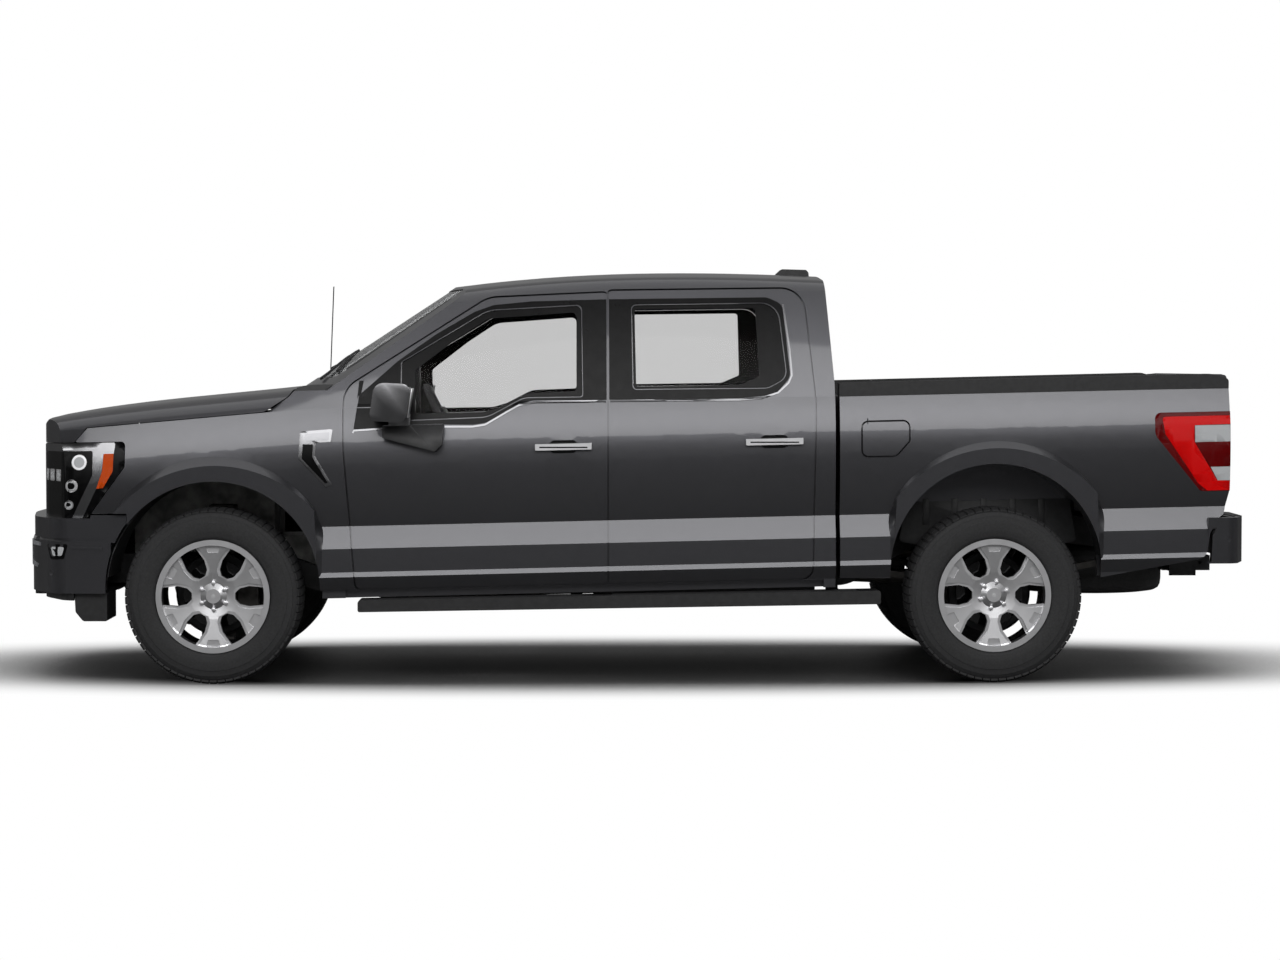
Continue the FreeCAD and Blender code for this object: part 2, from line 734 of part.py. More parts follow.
def bed_floor_and_wall():
    """The load floor on its cross sills, the front wall and the two wheel houses."""
    inner = BED_INNER_Y
    under = BED_FLOOR_Z - BED_FLOOR_WALL
    house_y = 650.0
    wall_thick = 8.0
    floor = slab(BED_FRONT_X + 4, BED_REAR_X - TAILGATE_WALL - 16, -inner, inner, under, BED_FLOOR_Z)
    wall = slab(BED_FRONT_X + 4, BED_FRONT_X + 44, -inner, inner, BED_FLOOR_Z, BED_RAIL_Z)
    sills = [slab(x, x + 70, -500, 500, FRAME_KICK_Z, under) for x in (1420, 2050)]
    sills += [slab(x, x + 70, -500, 500, FRAME_TAIL_Z, under) for x in (2330, 2640)]
    floor = floor.cut(both(arch_prism(REAR_AXLE_X, -1100, -house_y, wall_thick)))
    houses = []
    for a, b in ((-inner, -house_y), (house_y, inner)):
        outer = arch_prism(REAR_AXLE_X, a, b, wall_thick)
        side = -1 if a < 0 else 1
        hollow = arch_prism(REAR_AXLE_X, a + (wall_thick if side > 0 else -1), b + (1 if side > 0 else -wall_thick))
        trim = slab(900, 2600, -1000, 1000, 100, under)
        houses.append(outer.cut(hollow).cut(trim))
    return fused([floor, wall] + sills + houses)


def bedside():
    """The left side of the bed with its flare, lamp recess and fuel filler pocket."""
    skin = FENDER_WALL
    outer = side_solid(BED_STATIONS)
    wall = outer.cut(slab(900, 3000, -BED_INNER_Y, BED_INNER_Y, 300, 1500))
    hollow = side_solid(BED_STATIONS, skin).cut(slab(900, 3000, -BED_INNER_Y - skin, BED_INNER_Y + skin, 300, 1500))
    hollow = hollow.common(slab(BED_FRONT_X + skin, BED_REAR_X - 34, -1100, 1100, 300, BED_RAIL_Z - 34))
    hollow = hollow.cut(side_prism(FUEL_DOOR, -1100, -600, 34))
    hollow = hollow.cut(side_prism(LAMP, -1100, -600, 30))
    wall = wall.cut(hollow)
    corners = [(BED_FRONT_X, SILL_Z + 2), (2200, SILL_Z - 26), (2716, 533, 60), (BED_REAR_X - 90, 690),
               (BED_REAR_X - 26, 740, 30), (BED_REAR_X, 850), (BED_REAR_X, BED_RAIL_Z), (BED_FRONT_X, BED_RAIL_Z)]
    wall = wall.common(side_prism(corners, -1100, -600))
    band = flare(REAR_AXLE_X).cut(side_solid(BED_STATIONS, 10))
    wall = wall.cut(arch_prism(REAR_AXLE_X, -1100, -600)).fuse(band)
    pivot = rod(V(GATE_X, -BED_INNER_Y + 1, GATE_Z), V(GATE_X, -BED_INNER_Y - 18, GATE_Z), GATE_PIN_R + RUNNING_GAP)
    return wall.cut(side_prism(LAMP, -1100, -600)).cut(pivot)


LAMP = [(2470, 1226, 30), (2850, 1226), (2850, 849), (2690, 849, 25), (2470, 1120, 60)]
GATE_X = 2786.0
GATE_Z = 870.0
GATE_PIN_R = 12.0
FUEL_PIN_X = 1107.0
FUEL_PIN_DEPTH = 13.0
FUEL_PIN_R = 2.5
FUEL_DOOR = [(1080, 1050, 30), (1080, 1215, 30), (1304, 1215, 30), (1304, 1120, 30), (1240, 1050, 30)]


def fuel_pocket():
    """The recess behind the fuel door."""
    depth = 52.0
    layer = side_solid(BED_STATIONS).cut(side_solid(BED_STATIONS, depth))
    return side_prism(FUEL_DOOR, -1100, -600, 5).common(layer)


def fuel_pin_y():
    """Width at which the fuel door's pin stands."""
    return -(SIDE_MAX - 1.5 - barrel(FUEL_PIN_X) - FUEL_PIN_DEPTH)


def fuel_pin():
    """The fuel door's hinge pin across its pocket, with the filler's cap behind it."""
    x = FUEL_PIN_X
    y = fuel_pin_y()
    pin = rod(V(x, y, lift(x, 1036)), V(x, y, lift(x, 1230)), FUEL_PIN_R)
    cap = rod(V(1200, -925, lift(1200, 1140)), V(1200, -948, lift(1200, 1140)), 42)
    return [pin, cap]


def fuel_door():
    """The fuel filler's door with its hinge barrel."""
    skin = side_solid(BED_STATIONS).cut(side_solid(BED_STATIONS, 8))
    panel = side_prism(FUEL_DOOR, -1100, -600, -3).common(skin)
    x = FUEL_PIN_X
    y = fuel_pin_y()
    low = V(x, y, lift(x, 1110))
    high = V(x, y, lift(x, 1155))
    barrel_solid = rod(low, high, 6)
    return panel.fuse(barrel_solid).cut(rod(low - V(0, 0, 60), high + V(0, 0, 60), FUEL_PIN_R + RUNNING_GAP))


def tail_lamps():
    """The left tail lamp."""
    outer = side_solid(BED_STATIONS, 2).cut(slab(900, 3000, -BED_INNER_Y, BED_INNER_Y, 300, 1500))
    block = outer.common(side_prism(LAMP, -1100, -600))
    return block.common(slab(2400, BED_REAR_X + 2, -1100, 0, 700, 1300))


def stop_lamp():
    """The high stop lamp at the roof's rear edge."""
    corners = [(908, 1880), (952, 1868, 6), (960, 1898, 10), (908, 1920, 8)]
    return side_prism(corners, -170, 170).cut(cab_solid(0, 0))


def rail_cap():
    """The left cap on top of the bed's side, with a lip over its inner edge."""
    corners = [(BED_FRONT_X, BED_RAIL_Z), (BED_REAR_X, BED_RAIL_Z), (BED_REAR_X, 1380, 20),
               (2740, RAIL_CAP_Z + 4, 60), (BED_FRONT_X, RAIL_CAP_Z, 6)]
    lip = side_prism(corners, -BED_INNER_Y - 1, -BED_INNER_Y + 12)
    lip = lip.cut(slab(BED_REAR_X - TAILGATE_WALL - 10, BED_REAR_X + 10, -900, 0, 1200, 1500))
    return side_prism(corners, -928, -BED_INNER_Y).fuse(lip).removeSplitter()


def tailgate():
    """The tailgate with its two pivots."""
    z0 = GATE_Z - RAKE * BED_REAR_X - 26
    half = BED_INNER_Y - 6
    x0 = BED_REAR_X - TAILGATE_WALL
    corners = [(x0, z0, 30), (BED_REAR_X - 8, z0, 20), (BED_REAR_X + 4, 1250, 200), (BED_REAR_X + 10, 1398, 16),
               (x0, 1398, 16)]
    panel = side_prism(corners, -half, half)
    grip = slab(BED_REAR_X - 14, BED_REAR_X + 40, -150, 150, 1180, 1260)
    pins = [rod(V(GATE_X, s * (half - 10), GATE_Z), V(GATE_X, s * (BED_INNER_Y + 12), GATE_Z), GATE_PIN_R)
            for s in (-1, 1)]
    return fused([panel] + pins).cut(grip)


def rear_bumper():
    """The rear bumper: a folded beam with closed end corners and a step."""
    right = [(2716, 990), (2860, 984, 60), (2925, 800, 160), (2942.5, 400, 900)]
    left = [(c[0], -c[1]) + tuple(c[2:]) for c in reversed(right)]
    plan = right + left
    z0 = 566.0
    z1 = 784.0
    outer = plan_prism(plan, z0, z1)
    inner = plan_prism(plan, z0 - 1, z1 - 12, -44)
    shape = outer.cut(inner)
    side = side_solid(BED_STATIONS, -6)
    clear = box(2600, BED_REAR_X + 14, -1100, 1100, z0 - 2, z1 + 2)
    shape = shape.cut(clear.cut(both(box(2722, BED_REAR_X + 14, 946, 1100, z0 - 2, z1 + 2)))
                      ).cut(both(side_prism([(2600, 500), (2738, 500), (2744, 640, 20), (2790, 720, 20),
                                             (BED_REAR_X + 8, 748), (BED_REAR_X + 8, 900), (2600, 900)],
                                            -1200, -800)).common(side))
    step = box(2880, 2960, -420, 420, z1 - 20, z1 + 20)
    return shape.cut(step)


# Frame and underbody

def ladder_frame():
    """Two rails with cross members and body mounts."""
    y0 = 380.0
    y1 = 460.0
    tail = 140.0
    corners = [(-2740, 500), (-1750, 500, 200), (-1400, 405, 200), (1060, 405, 200), (1400, 600, 200),
               (2030, 600, 200), (2320, FRAME_TAIL_Z - tail, 200), (2790, FRAME_TAIL_Z - tail),
               (2790, FRAME_TAIL_Z), (2300, FRAME_TAIL_Z, 200), (2020, FRAME_KICK_Z, 200),
               (1400, FRAME_KICK_Z, 200), (1040, FRAME_Z, 200), (-1500, FRAME_Z, 200), (-1750, 640, 200),
               (-2740, 640)]
    rails = [side_prism(corners, -y1, -y0), side_prism(corners, y0, y1)]
    members = []
    for x, z, height in ((-2690, 510, 90), (-1150, 410, 36), (-150, 405, 28), (850, 500, 42), (1440, 690, 46),
                         (2330, 600, 80), (2690, 600, 80)):
        members.append(slab(x, x + 70, -y0 - 1, y0 + 1, z, z + height))
    mounts = []
    for x in (-1200, -250, 780):
        for side in (-1, 1):
            mounts.append(slab(x - 40, x + 40, side * 420 - 35, side * 420 + 35, FRAME_Z - 4, FLOOR_Z))
    return fused(rails + members + mounts)


def hitch():
    """The square receiver tube on its cross bar, drilled for its pin."""
    outer = 38.0
    bore = 25.5
    tube = box(2690, 2930, -outer, outer, HITCH_Z - outer, HITCH_Z + outer)
    bar = box(2690, 2760, -460, 460, HITCH_Z - 30, HITCH_Z + 30)
    plates = []
    for side in (-1, 1):
        y0 = side * 460
        y1 = side * 472
        plates.append(box(2640, 2770, min(y0, y1), max(y0, y1), HITCH_Z - 34, HITCH_Z + 150))
    pin_hole = rod(V(HITCH_PIN_X, -60, HITCH_Z), V(HITCH_PIN_X, 60, HITCH_Z), HITCH_PIN_R)
    hollow = box(2680, 2940, -bore, bore, HITCH_Z - bore, HITCH_Z + bore)
    return fused([tube, bar] + plates).cut(hollow).cut(pin_hole)


def tow_hooks():
    """The front recovery loops with their arms under the rail ends."""
    hooks = []
    thick = 18.0
    z = TOW_EYE_Z
    for side in (-1, 1):
        y = side * 420
        eye = V(TOW_EYE_X, y, z - thick / 2)
        ring = Part.makeCylinder(TOW_EYE_R + 18, thick, eye)
        arm = box(TOW_EYE_X + 8, -2660, y - 20, y + 20, z - thick / 2, z + thick / 2)
        post = box(-2700, -2660, y - 20, y + 20, z - thick / 2, lift(-2680, 500))
        trim = slab(-2800, -2600, y - 40, y + 40, 500, 700)
        hole = Part.makeCylinder(TOW_EYE_R, thick * 3, eye - V(0, 0, thick))
        hooks.append(fused([ring, arm, post]).cut(hole).cut(trim))
    return Part.makeCompound(hooks)


def running_board():
    """The left running board with its brackets on the frame rail."""
    corners = [(-1300, 372, 10), (1168, 352, 10), (1168, 416, 14), (-1300, 428, 14)]
    parts = [side_prism(corners, -1010, -850)]
    for x in (-1150, -300, 950):
        parts.append(slab(x, x + 60, -852, -461, 368, 392))
        parts.append(slab(x, x + 60, -472, -460, 368, 520))
    return fused(parts)


def fuel_tank():
    """The fuel tank beside the left rail, on its two straps."""
    tank = side_prism([(-190, 370, 40), (880, 350, 60), (880, 510, 40), (-190, 510, 40)], -690, -472)
    straps = [slab(x, x + 50, -473, -460, 400, 500) for x in (40, 600)]
    return fused([tank] + straps)


def exhaust():
    """Silencer and pipes between the rails, over the axle and out behind the right wheel."""
    pipe = 30.0
    y = 265.0
    points = [V(-1700, 225, 430), V(-1250, y, 342), V(-200, y, 365), V(-30, y, 372)]
    tail = [V(540, y, 440), V(800, y, 470), V(960, y, 480), V(1400, y, 550), V(1900, y, 565),
            V(2140, 560, 590), V(2400, 625, 545), V(2570, 800, 455)]
    pipes = []
    for line in (points, tail):
        pipes += [rod(a, b, pipe) for a, b in zip(line, line[1:])]
        pipes += [Part.makeSphere(pipe, p) for p in line[1:-1]]
    silencer = rod(V(-50, y, 425), V(560, y, 440), 84)
    hanger = box(200, 240, y, 380, 430, 450)
    return fused(pipes + [silencer, hanger])


def engine():
    """The engine and gearbox as plain blocks at their real place, on two mounts."""
    block = box(-2450, -1760, -262, 262, 500, 1030)
    gearbox = box(-1762, -900, -160, 160, 448, 660)
    mounts = [box(-2100, -2020, s * 320 - 60, s * 320 + 60, 500, 560) for s in (-1, 1)]
    return fused([block, gearbox] + mounts)


def radiator():
    """The radiator in its support across the rail ends."""
    core = box(-2740, -2690, -420, 420, 585, 1060)
    return core.fuse(box(-2740, -2690, -600, 600, 1060, 1110)).cut(slab(-2800, -2600, -600, 600, 300, 640))


def rear_axle():
    """The live rear axle with differential, spindles, propeller shaft, leaf springs and dampers."""
    centre = V(REAR_AXLE_X, 0, TYRE_R)
    tube = rod(centre + V(0, -600, 0), centre + V(0, 600, 0), 45)
    housing = Part.makeSphere(150, centre)
    parts = [tube, housing, rod(V(-896, 0, 540), V(REAR_AXLE_X - 100, 0, TYRE_R + 14), 38)]
    hub_inner = HALF_TRACK - DISC_INBOARD - DISC_THICK - 3
    for side in (-1, 1):
        parts.append(rod(centre + V(0, side * 598, 0), centre + V(0, side * hub_inner, 0), 64))
        parts.append(rod(centre + V(0, side * 700, 0), centre + V(0, side * (HALF_TRACK - 42), 0), SPINDLE_R))
        parts += rear_spring(side)
    return fused(parts)


def rear_spring(side):
    """One leaf spring with its hangers on the rail, its axle seat and its damper."""
    y = side * 520.0
    seat_z = TYRE_R + 55
    width = 32.0
    arc = Part.Arc(V(1050, y, 520), V(REAR_AXLE_X, y, seat_z), V(2400, y, 575)).toShape()
    corners = [V(1050, y - width, 505), V(1050, y + width, 505), V(1050, y + width, 535), V(1050, y - width, 535)]
    leaf = Part.Wire([arc]).makePipe(Part.Face(Part.makePolygon(corners + [corners[0]])))
    y0, y1 = sorted((side * 460, side * 552))
    front = box(1030, 1075, y0, y1, 500, 560)
    rear = box(2370, 2415, y0, y1, 560, 680)
    saddle = box(REAR_AXLE_X - 60, REAR_AXLE_X + 60, y - width, y + width, TYRE_R + 20, seat_z + 8)
    damper = rod(V(1770, side * 497, 450), V(1910, side * 488, 700), 26)
    return [leaf, front, rear, saddle, damper]


def front_arms():
    """Control arms and spring legs of both front wheels, with the upright kingpins at their ends."""
    sides = []
    x = FRONT_AXLE_X
    for side in (-1, 1):
        parts = []
        for root_z, way in ((LOWER_ROOT_Z, -1), (UPPER_ROOT_Z, 1)):
            pin_z = TYRE_R + way * PIN_REACH
            neck = V(x, side * ARM_NECK_Y, pin_z)
            end = V(x, side * KINGPIN_Y, pin_z)
            for dx in (-170, 170):
                parts.append(rod(V(x + dx, side * 476, root_z), neck, 18))
                parts.append(rod(V(x + dx, side * 460, root_z), V(x + dx, side * 500, root_z), 26))
            parts.append(box(x - 27, x + 27, side * ARM_NECK_Y - 20, side * ARM_NECK_Y + 20, pin_z - 20, pin_z + 20))
            parts.append(rod(neck, end, PIN_R))
            parts.append(rod(end - V(0, 0, way * 14), end + V(0, 0, way * 32), PIN_R))
        y0, y1 = sorted((side * 460, side * 600))
        parts.append(box(x - 130, x + 130, side * 600 - 30, side * 600 + 30, 250, 300))
        parts.append(rod(V(x, side * 600, 270), V(x, side * 560, 812), 46))
        parts.append(box(x - 60, x + 60, y0, y1, 790, 830))
        y0, y1 = sorted((side * 460, side * 480))
        parts.append(box(x - 60, x + 60, y0, y1, 500, 830))
        y0, y1 = sorted((side * 380, side * 462))
        parts.append(box(x - 200, x + 200, y0, y1, LOWER_ROOT_Z - 26, 470))
        sides.append(fused(parts))
    return Part.makeCompound(sides).cut(both(slab(-2700, -1500, -461, -379, 500, 640)))


LOWER_ROOT_Z = 270.0
UPPER_ROOT_Z = 560.0
PIN_REACH = 185.0
ARM_NECK_Y = 676.0
PIN_R = 12.0

def knuckle():
    """The left steering knuckle: a fork between the kingpins, spindle and caliper."""
    x = FRONT_AXLE_X
    centre = V(x, 0, TYRE_R)
    inner_face = -(HALF_TRACK - DISC_INBOARD - DISC_THICK - 3)
    boss = rod(centre + V(0, inner_face, 0), centre + V(0, inner_face + 44, 0), 62)
    spindle = rod(centre + V(0, inner_face + 20, 0), centre + V(0, -(HALF_TRACK - 42), 0), SPINDLE_R)
    parts = [boss, spindle, box(x - 80, x + 80, -750, -724, TYRE_R - 60, TYRE_R + 60)]
    top = PIN_REACH + 32
    for way in (-1, 1):
        parts.append(box(x + way * 69 - 11, x + way * 69 + 11, -750, -730, TYRE_R - top, TYRE_R + top))
        z0, z1 = sorted((TYRE_R + way * (top - 12), TYRE_R + way * top))
        parts.append(box(x - 80, x + 80, -804, -730, z0, z1))
    caliper_y = -(HALF_TRACK - DISC_INBOARD)
    caliper = box(x + 100, x + 196, caliper_y - 16, inner_face + 30, TYRE_R - 70, TYRE_R + 70)
    slot = rod(centre + V(0, caliper_y - 3, 0), centre + V(0, inner_face, 0), DISC_R + 4)
    bridge = box(x + 60, x + 110, inner_face + 6, inner_face + 30, TYRE_R - 40, TYRE_R + 40)
    pin_hole = rod(V(x, -KINGPIN_Y, 100), V(x, -KINGPIN_Y, 800), PIN_R + RUNNING_GAP)
    plates = fused(parts + [caliper.cut(slot), bridge])
    hole_zone = both_ends(pin_hole)
    return plates.cut(hole_zone)


def both_ends(pin_hole):
    """The kingpin holes through the fork's two plates only."""
    z = PIN_REACH + 10
    x = FRONT_AXLE_X
    low = box(x - 100, x + 100, -900, -700, 100, TYRE_R - z)
    high = box(x - 100, x + 100, -900, -700, TYRE_R + z, 800)
    return pin_hole.common(low.fuse(high))


# Interior

SEAT_Y = 440.0
SEAT_HALF = 228.0


def seat(x, y):
    """A front seat: frame, cushion, back and head restraint, as solids that don't touch."""
    low = FLOOR_Z + FLOOR_WALL
    base = slab(x + 60, x + 460, y - 190, y + 190, low, 716)
    cushion = side_prism([(x, 717, 30), (x + 500, 717, 40), (x + 480, 850, 50), (x, 868, 60)], y - SEAT_HALF, y + SEAT_HALF)
    back = side_prism([(x + 506, 740, 40), (x + 630, 740, 50), (x + 730, 1420, 60), (x + 610, 1430, 50),
                       (x + 490, 880, 60)], y - SEAT_HALF + 4, y + SEAT_HALF - 4)
    post = slab(x + 640, x + 672, y - 60, y + 60, 1420, 1452)
    post = post.cut(side_prism([(x + 506, 740), (x + 630, 740), (x + 730, 1424), (x + 610, 1434)], y - 260, y + 260))
    head = side_prism([(x + 618, 1440, 30), (x + 712, 1436, 30), (x + 742, 1620, 40), (x + 660, 1630, 40)],
                      y - 130, y + 130)
    return [base, cushion, back, head]


def front_seats():
    """Both front seats."""
    return Part.makeCompound(seat(-760, -SEAT_Y) + seat(-760, SEAT_Y))


def rear_seat():
    """The rear bench: base, cushion, back and two head restraints."""
    low = FLOOR_Z + FLOOR_WALL
    parts = [slab(260, 640, -640, 640, low + 22, 716).cut(side_prism([(0, 560), (1000, 560), (1000, 640), (0, 640)],
                                                                     -212, 212))]
    parts.append(side_prism([(190, 717, 30), (720, 717, 40), (700, 868, 50), (190, 880, 60)], -700, 700))
    parts.append(side_prism([(728, 740, 30), (858, 740, 30), (858, 1420, 40), (745, 1420, 40), (706, 900, 40)],
                            -700, 700))
    for y in (-430, 430):
        parts.append(side_prism([(752, 1421, 30), (852, 1421, 30), (852, 1590, 30), (768, 1590, 30)], y - 125, y + 125))
    return Part.makeCompound(parts)


def dashboard():
    """The dashboard with the centre console and the steering column."""
    corners = [(-1440, 1000), (-1180, 980, 40), (-1080, 1120, 60), (-1120, 1290, 80), (-1440, 1340)]
    panel = side_prism(corners, -800, 800)
    console = side_prism([(-1440, 700), (-270, 640), (-270, 900, 40), (-1000, 900, 60), (-1120, 1000),
                          (-1440, 1100)], -118, 118).cut(floor_hump())
    console = console.cut(slab(-1500, 0, -200, 200, 500, 600))
    direction = column_direction()
    centre = WHEEL_CENTRE
    column = rod(V(-1150, WHEEL_CENTRE.y, 1130), centre - direction * 16, 32)
    shaft = rod(centre - direction * 60, centre + direction * 8, COLUMN_R)
    return fused([panel, console, column, shaft])


WHEEL_CENTRE = V(-922, -SEAT_Y, 1239)
COLUMN_R = 12.0


def column_direction():
    """Direction of the steering column towards the driver."""
    return V(228, 0, 109).normalize()


def steering_wheel():
    """The steering wheel: rim, hub and three spokes."""
    centre = WHEEL_CENTRE
    direction = column_direction()
    ring = Part.makeTorus(178, 16, centre, direction)
    hub = Part.makeCylinder(62, 40, centre - direction * 14, direction)
    bore = Part.makeCylinder(COLUMN_R + RUNNING_GAP, 26, centre - direction * 15, direction)
    across = V(0, 1, 0)
    down = direction.cross(across)
    if down.z > 0:
        down = down * -1
    spokes = [rod(centre + way * 50, centre + way * 176, 13) for way in (across, across * -1, down)]
    return fused([ring, hub] + spokes).cut(bore)


# Wheels

def tyre_profile():
    """Section of a tyre as (offset, radius) points, standing on the rim's bead seats."""
    half = TYRE_WIDTH / 2
    right = [(BEAD_HALF, BEAD_R), (BEAD_HALF, RIM_R + 1), (BEAD_HALF + 13, RIM_R + 3), (half - 3, 300), (half, 330),
             (half, 352), (half - 5, 384), (half - 16, 402), (half - 36, 412), (70, TYRE_R)]
    return [(-o, r) for o, r in right] + list(reversed(right))


def tyre(centre):
    """A tyre without its tread blocks."""
    return turned(tyre_profile(), centre)


def window(centre, outward, grow, front, back):
    """One opening between two spokes, grown by a margin, between two depths."""
    shape = [(102, 15), (124, 37), (168, 48), (247, 40)]
    top = [(r, w) for r, w in shape]
    corners = [(r, w, 8) for r, w in top] + [(r, -w, 8) for r, w in reversed(top)]
    wire = rounded_wire(corners, lambda r, w: centre + V(r, outward * front, w))
    if grow:
        wire = wire.makeOffset2D(grow, join=0)
    return Part.Face(wire).extrude(V(0, outward * (back - front), 0))


def ringed(shape, centre, turn):
    """Copies of a cutter around the wheel."""
    copies = []
    for i in range(SPOKES):
        copy = shape.copy()
        copy.rotate(centre, V(0, 1, 0), turn + 360.0 / SPOKES * i)
        copies.append(copy)
    return Part.makeCompound(copies)


def rim(centre, outward, turn=0.0):
    """A six-spoke rim with its hub and brake disc; outward is -1 on the left side."""
    half = RIM_HALF
    lip = BEAD_R - BARREL_WALL
    profile = [(-half, lip), (-half, RIM_R), (-BEAD_HALF, RIM_R), (-BEAD_HALF, BEAD_R), (BEAD_HALF, BEAD_R),
               (BEAD_HALF, RIM_R), (half, RIM_R), (half, lip)]
    ring = turned(profile, centre)
    o = outward
    face = [(o * 76, 10), (o * 100, 10), (o * 100, 34), (o * 84, 62), (o * 92, 110), (o * 106, 236),
            (o * 108, lip + 1), (o * 62, lip + 1), (o * 50, 120), (o * 44, 62), (o * 44, 10)]
    disc_face = turned(face, centre)
    disc_face = disc_face.cut(ringed(window(centre, outward, 0, 20, 130), centre, turn))
    shoulder = window(centre, outward, 13, 90, 130)
    pocket_corners = [(206, 26, 5), (244, 34, 5), (244, -34, 5), (206, -26, 5)]
    wire = rounded_wire(pocket_corners, lambda r, w: centre + V(w, outward * 97, r))
    pocket = Part.Face(wire).extrude(V(0, outward * 30, 0))
    disc_face = disc_face.cut(ringed(shoulder, centre, turn)).cut(ringed(pocket, centre, turn))
    inner = DISC_INBOARD + DISC_THICK
    hub = rod(centre + V(0, -o * inner, 0), centre + V(0, o * 78, 0), HUB_R)
    disc = rod(centre + V(0, -o * DISC_INBOARD, 0), centre + V(0, -o * inner, 0), DISC_R)
    bore = rod(centre + V(0, -o * (inner + 1), 0), centre + V(0, o * 44, 0), SPINDLE_R + RUNNING_GAP)
    return fused([ring, disc_face, hub, disc]).cut(bore)


def aerials():
    """The roof's fin and the whip aerial on the right fender."""
    fin = side_prism([(722, 1935), (900, 1905), (896, 1950, 12), (884, 1964, 10), (760, 1970, 20)], -48, 48)
    fin = fin.cut(cab_solid(0, 0))
    base_x = -1578.0
    y = 880.0
    foot = V(base_x, y, lift(base_x, 1395))
    whip = rod(foot, V(-1555, y, 1922), 3)
    socket = rod(foot - V(0, 0, 26), foot + V(0, 0, 34), 12).cut(mirrored(fender_top()))
    upper = box(base_x - 20, base_x + 20, y - 20, y + 20, foot.z - 2, foot.z + 40)
    return Part.makeCompound([fin, whip.cut(mirrored(fender_top())).fuse(socket.common(upper))])


SPARE_Z = 500.0


def spare_wheel():
    """The spare wheel slung under the bed behind the axle."""
    centre = V(2290, 0, SPARE_Z)
    profile = [(o * 0.9, r * 0.94) for o, r in tyre_profile()]
    ring = turned(profile, V(0, 0, 0))
    disc = turned([(-40, 0), (-40, 238), (-8, 238), (-8, 0)], V(0, 0, 0))
    wheel = fused([ring, disc])
    wheel.rotate(V(0, 0, 0), V(1, 0, 0), 90)
    wheel.translate(centre)
    winch = rod(V(2365, 0, centre.z), V(2365, 0, lift(2365, 600) - 0.4), 16)
    return wheel.fuse(winch)


NODES = {}


def add(name, shape):
    """Keep a piece under its name."""
    NODES[name] = shape


def build():
    """Make every piece."""
    shell = cab_shell()
    add("cab_shell", shell)
    add("cab_glass", cab_glass())
    add("cowl", cowl())
    add("hood", hood())
    add("fenders", both(fender()))
    add("grille", grille())
    add("headlamps", both(headlamps()))
    add("front_bumper", front_bumper())
    add("air_dam", air_dam())
    add("wheel_liners", both(Part.makeCompound([arch_liner(FRONT_AXLE_X, 560, FRONT_STATIONS),
                                                arch_liner(REAR_AXLE_X, BED_INNER_Y + 28, BED_STATIONS)])))
    for name, outline, opening, grip in (
        ("front", FRONT_DOOR, FRONT_WINDOW, (-464, -198, 1114)),
        ("rear", REAR_DOOR, REAR_WINDOW, (530, 800, 1116)),
    ):
        left = door_panel(outline, opening, grip)
        pane = door_glass(opening)
        grip_shape = handle(*grip)
        add("door_" + name + "_left", left)
        add("door_" + name + "_right", mirrored(left))
        add("glass_" + name + "_left", pane)
        add("glass_" + name + "_right", mirrored(pane))
        add("handle_" + name + "_left", grip_shape)
        add("handle_" + name + "_right", mirrored(grip_shape))
    glass_mirror = mirror_unit()
    add("mirror_left", glass_mirror)
    add("mirror_right", mirrored(glass_mirror))
    add("bed_box", bed_floor_and_wall())
    side = bedside()
    add("bedside_left", fused([side.cut(fuel_pocket())] + fuel_pin()))
    add("bedside_right", mirrored(side))
    add("fuel_door", fuel_door())
    add("bed_rail_caps", both(rail_cap()))
    tail = tail_lamps()
    add("tail_lamps", Part.makeCompound([tail, mirrored(tail), stop_lamp()]))
    add("tailgate", tailgate())
    add("rear_bumper", rear_bumper())
    add("ladder_frame", ladder_frame())
    add("hitch_receiver", hitch())
    add("tow_hooks", tow_hooks())
    add("running_boards", both(running_board()))
    add("fuel_tank", fuel_tank())
    add("exhaust", exhaust())
    add("engine", engine())
    add("radiator", radiator())
    add("spare_wheel", spare_wheel())
    add("rear_axle", rear_axle())
    add("front_suspension", front_arms())
    add("knuckle_left", knuckle())
    add("knuckle_right", mirrored(knuckle()))
    add("front_seats", front_seats())
    add("rear_seat", rear_seat())
    add("dashboard", dashboard())
    add("steering_wheel", steering_wheel())
    add("aerials", aerials())
    for end, x in (("front", FRONT_AXLE_X), ("rear", REAR_AXLE_X)):
        for side_name, side in (("left", -1), ("right", 1)):
            centre = V(x, side * HALF_TRACK, TYRE_R)
            add("tyre_" + end + "_" + side_name, tyre(centre))
            add("rim_" + end + "_" + side_name, rim(centre, side))


build()
os.makedirs("parts", exist_ok=True)
for name, shape in NODES.items():
    shape.exportStep("parts/" + name + ".step")
    print(name, len(shape.Solids), round(shape.Volume / 1e6, 2), shape.isValid())
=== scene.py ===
import math

import bpy
from mathutils import Matrix, Vector


